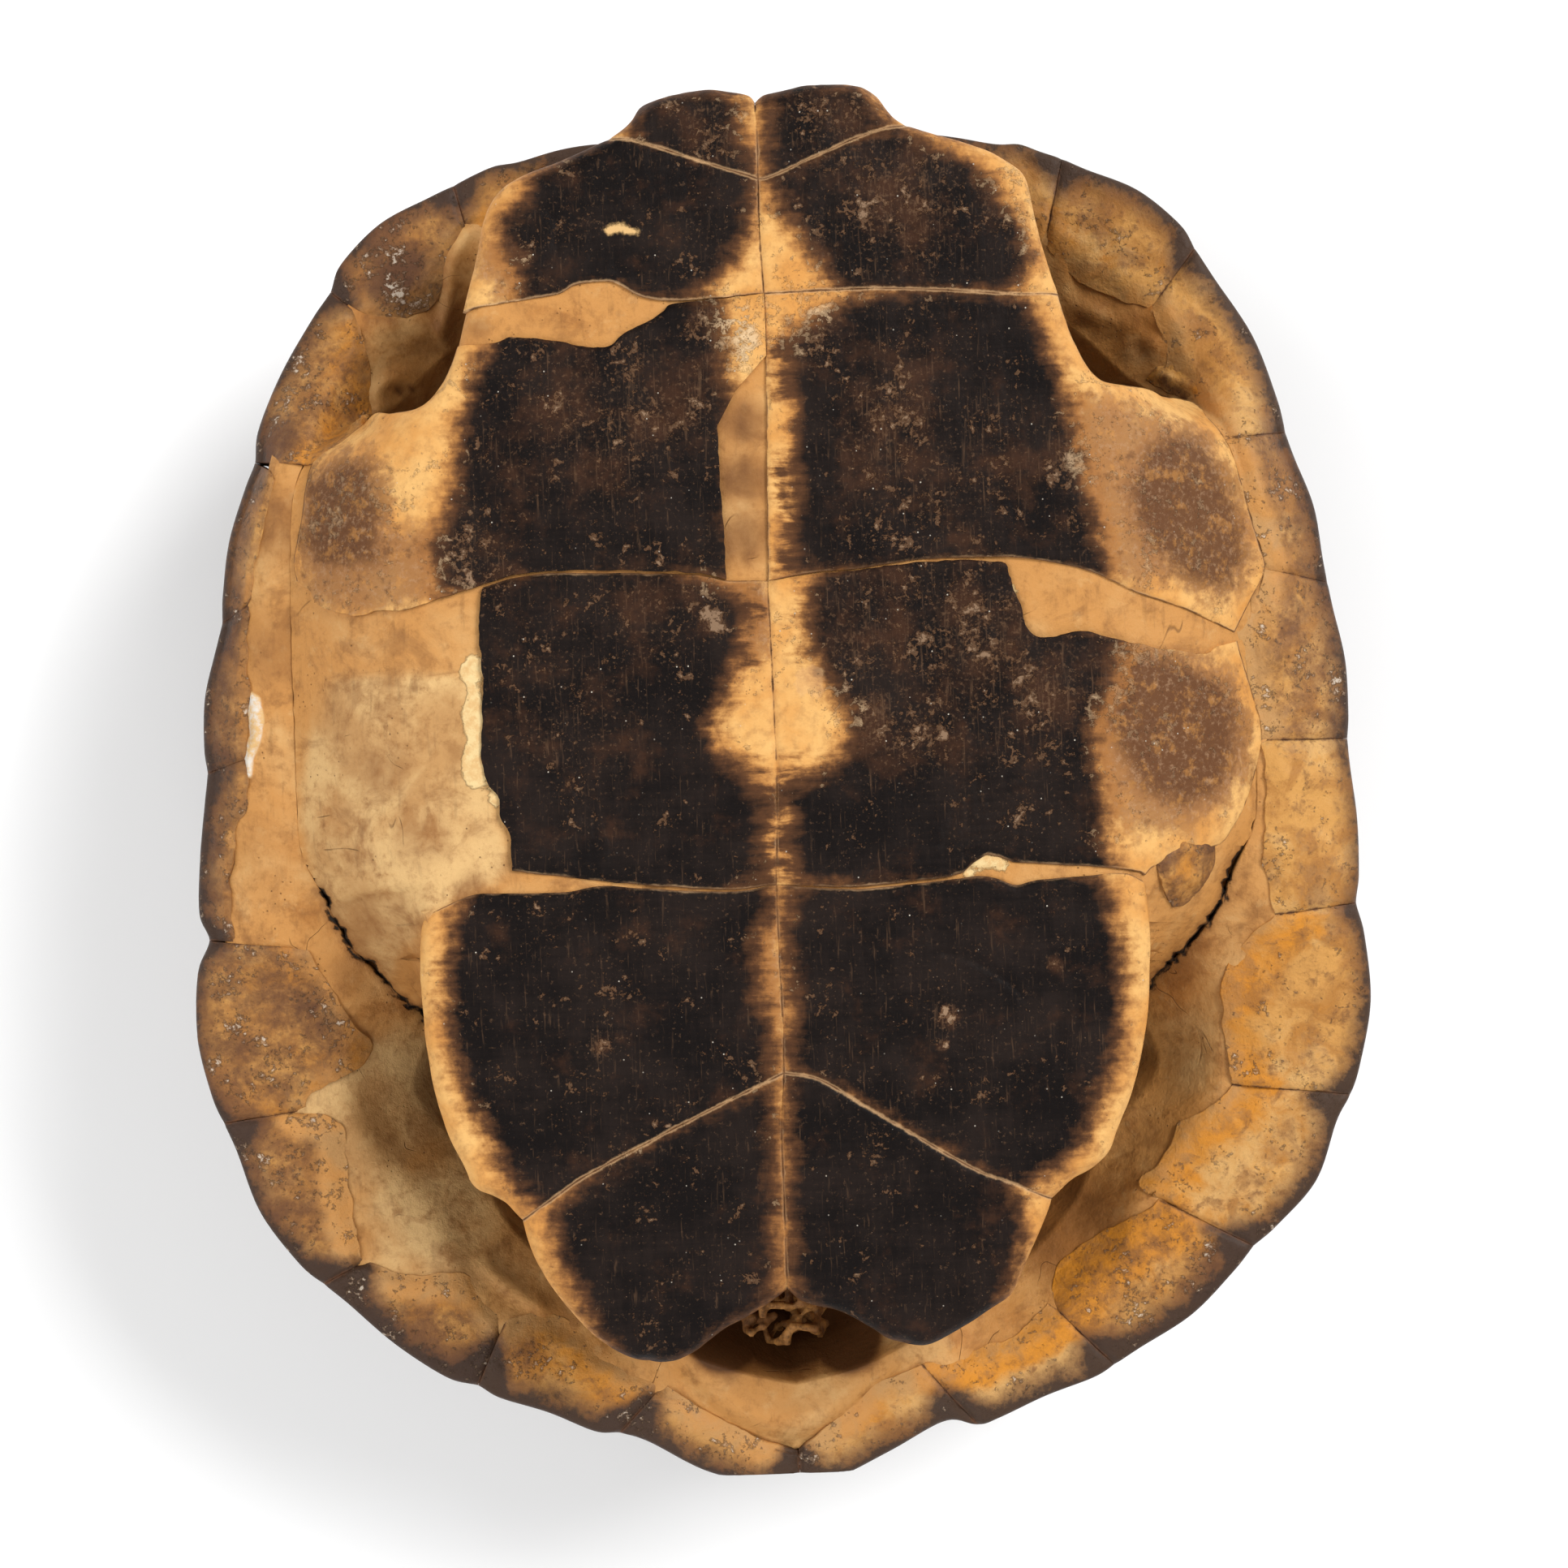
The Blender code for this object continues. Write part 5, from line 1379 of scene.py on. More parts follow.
# %% [markdown]
# ## The bowl of bone
# The carapace is one bowl: outside under the back shields, over the rim, in under the rim shields to the
# shoulder, and down its inner wall to the crown. A sphere has just that order of rings, so each of its
# vertices is moved onto the bowl's section at its own angle.

# %% Rings of the bowl
BOWL_COLUMNS = 600
BOWL_BONE = 4.0  # from the outside of the back shields to the inside of the bone
CROWN_SHARES = np.linspace(0, 0.955, 16)


def bowl_rings(turns):
    """Distances, heights and depths of the bowl's rings at many angles."""
    right = np.cos(turns)
    up = np.sin(turns)
    reach, rim_z = polar(RIM_TABLE, right, up)
    shoulder = polar(SHOULDER_TABLE, right, up)[0]
    rings = []
    for share in CROWN_SHARES:
        rings.append((reach * share, dome(right * reach * share, up * reach * share) + 1.1, 0 * reach))
    rings.append((reach - 2.9, rim_z - 1.9, 0 * reach))
    for share in np.linspace(0, 1, 42) ** 0.9:
        distance = (reach - 3.1) * (1 - share) + shoulder * share
        height = soft_rim(right * distance, up * distance)
        rings.append((distance, height - 0.6 * (share == 0), 0 * reach))
    crest = rings[-1][1]
    foot = 0.62 * reach
    foot_z = dome(right * foot, up * foot) + BOWL_BONE
    upright = step(np.sin(turns), -0.62, -0.42) * (1 - step(np.sin(turns), 0.56, 0.7))
    bend = shoulder - 1.0 - 3.0 * (1 - upright)
    bend_z = crest - (crest - foot_z) * (0.35 + 0.45 * upright)
    for share in np.linspace(0, 1, 26)[1:]:
        distance = shoulder * (1 - share) ** 2 + 2 * bend * share * (1 - share) + foot * share**2
        height = crest * (1 - share) ** 2 + 2 * bend_z * share * (1 - share) + foot_z * share**2
        rings.append((distance, height, crest - height))
    for share in np.linspace(0.60, 0.0, 18):
        distance = reach * share
        height = dome(right * distance, up * distance) + BOWL_BONE
        rings.append((distance, height, crest - height))
    return [np.array(part) for part in zip(*rings)]


print("rings of the bowl:", len(bowl_rings(np.array([0.0]))[0]))

# %% Marks in the bowl, in photo pixels
GLUE_BLOB = (
    (308, 852), (320, 860), (325, 885), (322, 910), (312, 935), (310, 958), (303, 958), (300, 930),
    (309, 905), (303, 880),
)
TAIL_LIP = ((850, 1672), (880, 1715), (930, 1745), (985, 1752), (1040, 1728), (1090, 1690), (1150, 1655))
TAIL_HOLLOW = ((840, 1705), (890, 1750), (960, 1780), (1030, 1762), (1080, 1722), (1130, 1680))
POCKET_RIDGES = (  # lines in the pockets beside the neck and the legs, with a width and a rise in millimetres
    (((575, 290), (560, 320), (556, 360), (548, 415)), 1.0, 1.3),
    (((470, 505), (468, 480), (490, 466), (515, 472), (522, 492)), 0.9, 0.9),
    (((408, 362), (430, 385), (455, 400), (500, 410), (540, 405)), 1.6, 0.8),
    (((450, 505), (430, 535), (400, 560)), 0.6, -0.6),
    (((1310, 262), (1306, 310), (1318, 370), (1345, 390)), 1.2, 0.5),
    (((1392, 432), (1402, 416), (1416, 424)), 1.3, 0.9),
    (((1345, 385), (1385, 400), (1425, 388)), 1.5, 0.7),
    (((1460, 330), (1420, 370), (1400, 432)), 1.8, -0.7),
    (((600, 1560), (640, 1592), (668, 1610)), 1.2, 0.9),
    (((430, 1300), (480, 1400), (560, 1510)), 3.0, -0.8),
    (((1440, 1290), (1400, 1400), (1330, 1480)), 3.0, -0.8),
)
# Brown spots in the bowl: stains, and painted shade in the tail opening and in the hollow behind the right
# rear of the belly plate.
BOWL_STAINS_AND_SHADE = (
    ((640, 1560), 60, 0.5), ((700, 1590), 60, 0.6), ((1338, 1495), 75, 0.8), ((1290, 1545), 60, 0.6),
    ((340, 650), 75, 0.6), ((338, 800), 75, 0.45), ((970, 1625), 80, 3.4), ((895, 1645), 55, 3.2),
    ((1040, 1645), 55, 3.2), ((340, 1050), 80, 0.3), ((550, 330), 60, 0.5), ((492, 482), 11, 1.0),
    ((507, 479), 9, 1.0), ((530, 340), 30, 0.9), ((480, 400), 40, 0.5), ((560, 400), 60, 0.7),
    ((1325, 330), 40, 0.3), ((1340, 378), 40, 0.55), ((1385, 388), 40, 0.5), ((1350, 430), 30, 0.2),
    ((570, 250), 40, 0.7), ((620, 1560), 50, 0.4), ((1450, 1180), 60, 0.5), ((1400, 1380), 50, 0.3),
    ((1290, 1530), 50, 0.7), ((430, 1200), 40, 0.5),
)
BOWL_PALE = (
    ((1403, 428), 26, 0.9), ((450, 1370), 110, 1.4), ((520, 1500), 100, 0.7), ((1470, 1290), 60, 0.4),
    ((1000, 1745), 60, 0.3),
)
BOWL_AMBER = (
    ((500, 330), 130, 0.55), ((450, 420), 90, 0.5), ((1370, 300), 130, 0.55), ((1430, 400), 90, 0.6),
    ((1330, 1500), 110, 0.9), ((1450, 1200), 90, 0.5), ((560, 1500), 110, 0.3), ((985, 1760), 90, 0.25),
    ((1210, 1620), 80, 0.45), ((400, 1120), 60, 0.4), ((700, 1620), 80, 0.4), ((1560, 560), 40, 0.3),
)
print("ridges in the pockets:", len(POCKET_RIDGES), "stains:", len(BOWL_STAINS_AND_SHADE))

# %% Suture and ridges of the bowl
def bowl_suture(x, y, depth):
    """Distance of the bowl's points from the rear part of the joint, where its teeth are dark."""
    found = np.full(np.shape(x), 9.0)
    near = (y < -4) & (y > -32) & (np.abs(x) > 42) & (depth < 3)
    for side in ("left", "right"):
        found[near] = np.minimum(found[near], line_distance(x[near], y[near], joint_part(side, 44.0, -31.0)))
    return found + 9 * (1 - step(-y, 5.0, 12.0))


def bowl_relief(x, y, depth, under):
    """Ridges and hollows of the bowl that the photo shows through its openings."""
    lip = from_seen(x, y, TAIL_LIP, soft_rim, 5)
    raised = 1.5 * np.exp(-((lip / 2.6) ** 2))
    hollow = from_seen(x, y, TAIL_HOLLOW, soft_rim, 5)
    sunk = -1.2 * np.exp(-((hollow / 2.2) ** 2))
    relief = (raised + sunk) * under * (depth < 8)
    for ridge, width, rise in POCKET_RIDGES:
        across = from_seen(x, y, ridge, soft_rim)
        relief = relief + rise * np.exp(-((across / width) ** 2)) * under * (depth < 14)
    return relief

# %% Shape the bowl
def bowl_of_bone():
    turns = np.arange(BOWL_COLUMNS) / BOWL_COLUMNS * 2 * math.pi
    distance, height, depth = bowl_rings(turns)
    x, y = distance * np.cos(turns), distance * np.sin(turns)
    rough = noise(x, y, 11.0, 21, 3) * 0.6 + noise(x, y, 5.0, 23, 2) * 0.25 + noise(x, y, 2.2, 22, 2) * 0.1
    under = (np.arange(len(height)) > 17)[:, None]
    height = height + np.minimum(rough, 0.25) * under * step(depth + 3, 0, 6)
    height = height + bowl_relief(x, y, depth, under)
    sphere = bmesh.new()
    bmesh.ops.create_uvsphere(sphere, u_segments=BOWL_COLUMNS, v_segments=len(height) - 1, radius=1.0)
    mesh = finished(sphere, "bowl")
    mesh.flip_normals()
    place = vertex_places(mesh)
    ring = np.rint(np.arccos(np.clip(place[:, 2], -1, 1)) / math.pi * (len(height) - 1)).astype(int)
    turn = np.arctan2(place[:, 1], place[:, 0]) % (2 * math.pi)
    column = np.rint(turn / (2 * math.pi) * BOWL_COLUMNS).astype(int) % BOWL_COLUMNS
    # Stains, with painted shade in the tail opening and the right rear hollow.
    stain = worn_at(x, y, BOWL_STAINS_AND_SHADE, soft_rim) * (depth < 25)
    pale = worn_at(x, y, BOWL_PALE, soft_rim)
    glue = inside_by(x, y, seen_on(soft_rim, GLUE_BLOB))
    fields = {
        "tan": np.where(depth > 2, 0.6, 0.75) - pale * 0.6,
        # Painted shade: brown grows with the depth into the hollow, and the spots of stain and painted shade
        # add to it.
        "stain_and_shade": step(depth, 4.0, 34.0) * 1.15 + stain - pale * 0.5,
        "suture": bowl_suture(x, y, depth),
        "glue": np.where(under, glue, FAR_OUTSIDE),
        "cream": np.full(np.shape(x), FAR_OUTSIDE),
        "amber": worn_at(x, y, BOWL_AMBER, soft_rim),
    }
    height = height + 0.7 * step(glue, -0.3, 0.8) * under
    points = np.dstack([x, y, height])
    order = ring * BOWL_COLUMNS + column
    return placed(mesh, points, order, fields, "bowl_of_bone", ["carapace_bone"], bone)


bowl = bowl_of_bone()
print("bowl faces:", len(bowl.data.polygons))

# %% [markdown]
# ## The rim shields
# A rim shield is folded over the edge of the shell: it starts on the dome, goes round the rim and ends on
# the underside. Its outline there comes from the photo, a rim line with a small notch at each seam and an
# inner edge. On the left bridge that inner edge is broken far back, and bare bone shows beside it.

# %% The rim of the shell, in photo pixels
RIM_LINES = {
    "right": {
        3: ((1308, 196), (1338, 209), (1401, 234), (1453, 276)),
        4: ((1472, 306), (1496, 343), (1543, 414), (1573, 493)),
        5: ((1583, 534), (1594, 565), (1618, 624), (1629, 687)),
        6: ((1635, 718), (1642, 750), (1657, 813), (1661, 878)),
        7: ((1660, 910), (1663, 943), (1672, 1010), (1674, 1078)),
        8: ((1671, 1112), (1681, 1151), (1689, 1232), (1676, 1310)),
        9: ((1664, 1348), (1647, 1381), (1622, 1454), (1573, 1510)),
        10: ((1545, 1535), (1521, 1565), (1469, 1619), (1405, 1660)),
        11: ((1373, 1681), (1347, 1697), (1289, 1719), (1234, 1745)),
        12: ((1205, 1755), (1165, 1750), (1097, 1787), (1025, 1822)),
        13: ((986, 1817),),
    },
    "left": {
        3: ((559, 229), (528, 244), (468, 276), (420, 326)),
        4: ((407, 360), (385, 393), (347, 460), (319, 531)),
        5: ((315, 571), (303, 603), (283, 668), (275, 735)),
        6: ((274, 769), (267, 799), (253, 860), (252, 922)),
        7: ((256, 953), (253, 987), (247, 1056), (246, 1126)),
        8: ((258, 1159), (244, 1199), (243, 1277), (261, 1350)),
        9: ((276, 1384), (292, 1419), (321, 1494), (369, 1557)),
        10: ((399, 1582), (429, 1606), (487, 1656), (551, 1697)),
        11: ((589, 1707), (616, 1722), (676, 1740), (733, 1763)),
        12: ((764, 1765), (800, 1776), (871, 1812), (947, 1828)),
        13: ((986, 1817),),
    },
}
RIM_START = {
    "right": ((1226, 178), (1255, 178), (1281, 187)),
    "left": ((639, 200), (610, 205), (584, 216)),
}
print("rim shields with a rim line:", list(RIM_LINES["right"]))

# %% Inner edges of the rim shields, in photo pixels
INNER_EDGES = {
    "right": {
        2: ((1225, 240), (1255, 268), (1288, 300)),
        3: ((1288, 300), (1325, 345), (1372, 368), (1418, 380)),
        4: ((1418, 380), (1436, 425), (1440, 470), (1470, 498), (1509, 541)),
        5: ((1509, 541), (1523, 575), (1549, 666), (1558, 701)),
        6: ((1558, 701), (1545, 740), (1526, 779), (1534, 818), (1554, 912)),
        7: ((1554, 912), (1560, 985), (1556, 1050), (1571, 1127)),
        8: ((1571, 1127), (1535, 1160), (1508, 1200), (1505, 1260), (1518, 1336)),
        9: ((1518, 1336), (1490, 1360), (1450, 1385), (1435, 1420), (1402, 1458), (1427, 1477)),
        10: ((1427, 1477), (1370, 1511), (1312, 1549), (1292, 1603)),
        11: ((1292, 1603), (1248, 1644), (1196, 1662), (1136, 1681)),
        12: ((1136, 1681), (1078, 1705), (1045, 1735), (1007, 1768), (984, 1787)),
    },
    "left": {
        2: ((655, 255), (618, 272), (575, 285)),
        3: ((575, 285), (552, 325), (535, 375), (485, 395), (442, 388)),
        4: ((442, 388), (452, 430), (460, 480), (447, 520), (417, 549), (388, 573)),
        5: ((336, 582), (332, 617), (313, 693), (305, 747)),
        6: ((305, 747), (303, 789), (307, 865), (303, 936)),
        7: ((303, 936), (303, 995), (290, 1026), (284, 1095), (290, 1160)),
        8: (
            (377, 1169), (405, 1210), (431, 1252), (457, 1284), (452, 1308), (419, 1328), (383, 1351),
            (376, 1368),
        ),
        9: ((376, 1368), (412, 1382), (425, 1400), (428, 1450), (436, 1500), (446, 1556)),
        10: ((446, 1556), (498, 1571), (546, 1568), (580, 1572), (608, 1597), (622, 1629)),
        11: ((622, 1629), (661, 1618), (708, 1632), (751, 1669), (818, 1705)),
        12: ((818, 1705), (847, 1726), (890, 1750), (938, 1774), (984, 1788)),
    },
}
HIDDEN_RIM = ((2.55, 82.45), (9.5, 83.15), (19.5, 83.0), (25.0, 82.4))
print("inner edges on each side:", [len(edges) for edges in INNER_EDGES.values()])

# %% Lines of a rim shield
RIM_HORN, INNER_HORN = 0.8, 0.3  # thickness of a rim shield, and how proud its thin inner edge stands
MERGED_HORN = 0.1  # on the left rear the inner edge has dried down on the bone
NOSE = 1.1  # radius of the rounded rim
SEAM_CUT = 0.02  # what a rim shield leaves free at a seam
RIM_COLUMNS = 42


def rim_height_of(plan):
    return polar(RIM_TABLE, plan[..., 0], plan[..., 1])[1] - 1.0


def rim_marks(side):
    """The whole rim line of a side from head to tail, and the places on it where the shields start."""
    sign = -1 if side == "left" else 1
    points = [np.array([(sign * x, y) for x, y in HIDDEN_RIM])]
    starts = {1: 0, 2: 2}
    total = len(HIDDEN_RIM)
    for number, pixels in [(0, RIM_START[side]), *sorted(RIM_LINES[side].items())]:
        if number:
            starts[number] = total
        plan = plan_of(pixels, 44.0)
        points.append(plan_of(pixels, rim_height_of(plan)))
        total += len(pixels)
    line = spline(np.vstack(points), 6)
    return line, {number: along(line)[start * 6] for number, start in starts.items()}


def inner_line(side, number, rim):
    """Where a rim shield ends underneath."""
    if number in INNER_EDGES[side]:
        return ragged(spline(seen_on(bed, INNER_EDGES[side][number]), 6), 0.55, 2.2, seed=number)
    ends = []
    for x, y in rim[:: max(1, len(rim) // 6)]:
        reach, shelf = np.hypot(x, y), polar(SHELF_TABLE, x, y)[0]
        ends.append(np.array((x, y)) * (shelf * 0.95 + reach * 0.05) / reach)
    return spline(ends, 4)


print("rim on the right:", round(along(rim_marks("right")[0])[-1]), "mm long")

# %% Fold a shield round the rim
def folded(rim, inner, proud=INNER_HORN):
    """Rows of points from the dome side, round the rim, to the inner edge underneath."""
    columns = eased(along(rim)[-1], along(rim)[-1] / RIM_COLUMNS)
    outer, ends = at(rim, columns * along(rim)[-1]), at(inner, columns * along(inner)[-1])
    inward = (ends - outer) / np.linalg.norm(ends - outer, axis=1)[:, None]
    start = outer + inward * NOSE
    reach = polar(RIM_TABLE, outer[:, 0], outer[:, 1])[0]
    fit = (reach / np.hypot(outer[:, 0], outer[:, 1]))[:, None]  # the solids' rim over the one in the photo
    rows, sides = [], []
    for share in np.linspace(0, 1, 14):
        plan = outer * RIM_TOP * (1 - share) + start * share
        fitted = plan * (1 + (fit - 1) * share)
        rows.append(np.column_stack([plan, dome(fitted[:, 0], fitted[:, 1])]))
        sides.append(1.0)
    low = rows[-1][:, 2]
    high = bed(*(start * fit).T) + RIM_HORN
    for turn in np.radians(np.linspace(-90, 90, 9)[1:-1]):
        plan = outer + inward * NOSE * (1 - math.cos(turn))
        rows.append(np.column_stack([plan, (low + high) / 2 + (high - low) / 2 * math.sin(turn)]))
        sides.append(float(np.clip(-math.sin(turn), 0, 1)))
    for share in eased(1.0, 0.026, (0.0, 0.01, 0.025)):
        plan = start + (ends - start) * share
        fitted = plan * (1 + (fit - 1) * (1 - share) ** 2)
        horn = RIM_HORN - (RIM_HORN - proud) * step(share, 0.7, 1.0)
        rows.append(np.column_stack([plan, bed(fitted[:, 0], fitted[:, 1]) + horn]))
        sides.append(0.0)
    points = np.array(rows)
    back = np.repeat(np.array(sides)[:, None], points.shape[1], 1)
    return points, back, outer, ends

# %% Looks of the rim shields
# For the rim shields 1 to 12: orange glow, dullness, strength of the dark smears at the seams, width of the
# dark outer band in millimetres, and how bare the horn has worn along its inner edge.
LOOKS = {
    "right": {
        "glow": (0.2, 0.2, 0.25, 0.0, 0.0, 0.0, 0.1, 0.55, 0.6, 1.0, 0.85, 0.4),
        "dull": (0.1, 0.1, 0.0, -0.2, 0.6, 0.5, 0.0, 0.08, 0.05, 0.4, 0.2, 0.25),
        "smear": (1.0, 1.0, 1.2, 0.5, 0.2, 0.2, 0.3, 0.8, 1.3, 1.6, 1.5, 1.4),
        "band": (0.3, 0.3, 0.7, 0.6, 0.4, 0.4, -0.4, 0.2, 0.9, 1.5, 0.6, 0.7),
        "worn": (0.0, 0.3, 0.35, 0.55, 0.5, 0.5, 0.0, 0.3, 0.35, 0.15, 0.3, 0.5),
    },
    "left": {
        "glow": (0.2, 0.4, 0.2, 0.45, 0.1, 0.3, 0.1, 0.35, 0.0, 0.4, 0.7, 0.3),
        "dull": (0.2, 0.25, 0.6, 0.5, 0.5, 0.7, 0.65, 0.6, 0.6, 0.6, 0.2, 0.35),
        "smear": (1.0, 1.5, 1.4, 0.7, 0.4, 0.6, 0.8, 1.0, 1.5, 1.9, 2.0, 1.9),
        "band": (0.2, 0.2, -0.2, 0.0, 0.4, 0.6, 0.6, -0.2, 0.5, 1.6, 1.1, 0.8),
        "worn": (0.0, 0.3, 0.3, 0.2, 0.2, 0.2, 0.2, 0.3, 0.8, 0.7, 0.5, 0.6),
    },
}
RIM_STAINS = (
    ((505, 355), 60, 0.9), ((520, 345), 40, 0.6), ((470, 300), 40, 0.3), ((395, 1235), 40, 0.4),
    ((1480, 475), 40, 0.5), ((1440, 430), 35, 0.4), ((1335, 345), 35, 0.5), ((1345, 270), 30, 0.4),
    ((640, 1655), 40, 0.5), ((1480, 1570), 40, 0.4), ((345, 545), 35, 0.5),
)

# %% Shape the rim shields
def rim_shield(side, number, line, marks):
    places = np.linspace(marks[number] + SEAM_CUT, marks[number + 1] - SEAM_CUT, 80)
    rim = at(line, places)
    inner = inner_line(side, number, rim)
    merged = side == "left" and number > 8
    points, back, outer, ends = folded(rim, inner, MERGED_HORN if merged else INNER_HORN)
    x, y = points[..., 0], points[..., 1]
    below = [line_distance(x, y, np.array([outer[end], ends[end]])) for end in (0, -1)]
    above = [line_distance(x, y, np.array([outer[end] * RIM_TOP, outer[end]])) for end in (0, -1)]
    seam = np.where(back > 0.5, np.minimum(*above), np.minimum(*below))
    from_rim = line_distance(x, y, line[::3])
    under = back == 0
    points[..., 2] -= 0.35 * (1 - step(seam, 0.0, 0.8)) * (1 - back * 0.3)
    swell = noise(x, y, 6.5, number + 30, 3) * 0.6 + noise(x, y, 1.8, number, 2) * 0.14
    points[..., 2] += np.where(under, swell * step(from_rim, 0.5, 3.0), 0.0)
    points[..., 2] += np.where(back == 1, 0.25 * np.abs(noise(from_rim, 0 * x, 1.1, number)), 0.0)
    look = {key: values[number - 1] for key, values in LOOKS[side].items()}
    smear = look["band"] + look["smear"] * 2.2 * (1 - step(seam, 0.0, 4.5))
    from_inner = line_distance(x, y, inner[::4])
    worn_edge = 1 - step(from_inner, 0.0, 6.0)
    glow = look["glow"] * (0.45 + 1.1 * (1 - step(from_inner, 1.0, 9.0))) * step(from_rim, 1.0, 6.0)
    fields = {
        "rim": from_rim, "seam": seam, "back": back, "smear": smear, "glow": glow,
        "dull": look["dull"] + worn_at(x, y, RIM_STAINS, soft_rim),
        "bare": look["worn"] * 2 * worn_edge * under,
    }
    node = f"marginal_{side}_{number:02d}"
    return grid_piece(points, fields, f"{node}_horn", [node], rim_horn, RIM_HORN)


for side in ("right", "left"):
    line, marks = rim_marks(side)
    for number in range(1, 13):
        piece = rim_shield(side, number, line, marks)
    print(side, "rim shields made, last has", len(piece.data.polygons), "faces")

# %% [markdown]
# ## The cervical and the two small bridge shields
# A narrow shield sits in the middle of the front rim, and two small ones fill the corners of the right
# bridge. Those have dried to thin amber flakes, so their edges are ragged and slope down to the bone. The
# left ones have come off in the photo.

# %% Shape the small shields
CERVICAL = 2.5  # half the width of the cervical
FRONT_RIM, FRONT_SHELF = 82.35, 76.3  # where it starts and ends


def cervical():
    across = np.linspace(-CERVICAL, CERVICAL, 15)
    rim = np.array([(x, FRONT_RIM + 0.02 * abs(x)) for x in across])
    inner = np.array([(x * 0.94, FRONT_SHELF) for x in across])
    points, back = folded(rim, inner)[:2]
    x, y = points[..., 0], points[..., 1]
    flat = 0 * x
    fields = {
        "rim": np.abs(y - FRONT_RIM), "seam": CERVICAL - np.abs(x), "back": back, "smear": flat + 1,
        "glow": flat + 0.2, "dull": flat + 0.3, "bare": flat,
    }
    return grid_piece(points, fields, "cervical_horn", ["cervical"], rim_horn, RIM_HORN)


SMALL_SHIELDS = {
    "inguinal_right": (
        soft_bridge,
        ((46.4, -9.4), (50.0, -8.0), (54.6, -8.6)), ((49.0, -17.0), (50.6, -16.8), (52.4, -15.2)),
        ((46.4, -9.4), (47.0, -13.0), (49.0, -17.0)), ((54.6, -8.6), (54.4, -12.0), (52.4, -15.2)),
    ),
    "axillary_right": (
        soft_rim,
        ((49.2, 50.4), (50.5, 52.0), (52.2, 52.2)), ((54.8, 47.2), (56.0, 47.2), (56.8, 47.8)),
        ((49.2, 50.4), (52.0, 48.2), (54.8, 47.2)), ((52.2, 52.2), (55.2, 50.0), (56.8, 47.8)),
    ),
}


def small_shield(node, surface, head, tail, middle, side):
    edges = enumerate((head, tail, middle, side))
    lines = [ragged(spline(line, 6), 0.35, 1.5, seed=number) for number, line in edges]
    plan = patch(*lines, 0.22)
    x, y = plan[..., 0], plan[..., 1]
    edge = np.min([line_distance(x, y, line) for line in lines], axis=0)
    height = surface(x, y) + 0.95 - 0.65 * (1 - step(edge, 0, 1.8)) + noise(x, y, 1.9, 44, 3) * 0.5
    flat = 0 * x
    fields = {
        "rim": flat + 6, "seam": flat + 3, "back": flat, "smear": flat, "bare": flat,
        "glow": flat + 0.45, "dull": 0.62 + noise(x, y, 2.6, 45, 2) * 0.6,
    }
    return grid_piece(np.dstack([x, y, height]), fields, f"{node}_horn", [node], rim_horn, 0.6)


cervical()
for node, (surface, *lines) in SMALL_SHIELDS.items():
    small_shield(node, surface, *lines)
print("small shields:", ["cervical", *SMALL_SHIELDS])

# %% [markdown]
# ## The shields of the back
# Thirteen shields cover the dome, five in the middle and four on each flank. The photo hides them, so they
# follow what such shells have: each grew ring by ring round a flat first plate, the areola, and its seams are
# narrow grooves. The rings are real steps in the mesh, made from the distance to the shield's edge.

# %% Shape the back shields
VERTEBRAL_SEAMS = ((45.0, 14.0), (17.0, 13.0), (-13.0, 12.5), (-42.0, 9.0))
COSTAL_TIPS = ((31.0, 20.0), (2.0, 21.0), (-27.0, 19.0))
COSTAL_SEATS = (1.5, 4.5, 6.45, 8.45, 10.6)
BACK_HORN, RING_SPACING, RING_DEPTH = 0.8, 1.15, 0.16


def dome_end(first, last, sign):
    """The line on the dome where the back shields meet the rim shields."""
    return np.array([rim_seat(seat, sign)[:2] * RIM_TOP for seat in np.linspace(first, last, 17)])


def back_shield(node, head, tail, middle, side):
    lines = [along_pieces(line) for line in (head, tail, middle, side)]
    plan = patch(*lines, 0.92)
    x, y = plan[..., 0], plan[..., 1]
    edge = np.min([line_distance(x, y, line) for line in lines], axis=0)
    ring = edge + noise(x, y, 5.0, len(pieces_made), 2) * 0.5
    groove = 0.45 * (1 - step(edge, 0.0, 0.7))
    steps = RING_DEPTH * np.abs((ring / RING_SPACING) % 1 - 0.5) * 2 * (1 - step(edge, 9.0, 13.0))
    height = dome(x, y) + groove + steps * step(edge, 0.4, 1.0)
    fields = {"edge": edge, "ring": ring / RING_SPACING}
    points = np.dstack([x, y, height])
    return grid_piece(points, fields, f"{node}_horn", [node], back_horn, BACK_HORN, up=False)


def along_pieces(line):
    """A line of straight spans with points added along them."""
    line = np.array(line, float)
    return at(line, np.linspace(0, along(line)[-1], 40))

# %% Make the back shields
seams = [[(-half, y), (half, y)] for y, half in VERTEBRAL_SEAMS]
front = np.vstack([dome_end(COSTAL_SEATS[0], 0, -1), dome_end(0, COSTAL_SEATS[0], 1)[1:]])
rear = np.vstack([dome_end(COSTAL_SEATS[-1], 12, -1), dome_end(12, COSTAL_SEATS[-1], 1)[1:]])
for number, (head, tail) in enumerate(zip([front, *seams], [*seams, rear])):
    flanks = []
    for end, sign in ((0, -1), (-1, 1)):
        tip = [(sign * COSTAL_TIPS[number - 1][1], COSTAL_TIPS[number - 1][0])] if 0 < number < 4 else []
        flanks.append([head[end], *tip, tail[end]])
    back_shield(f"vertebral_{number + 1}", head, tail, *flanks)
corners = [np.array((half, y)) for y, half in VERTEBRAL_SEAMS]
tips = [np.array((half, y)) for y, half in COSTAL_TIPS]
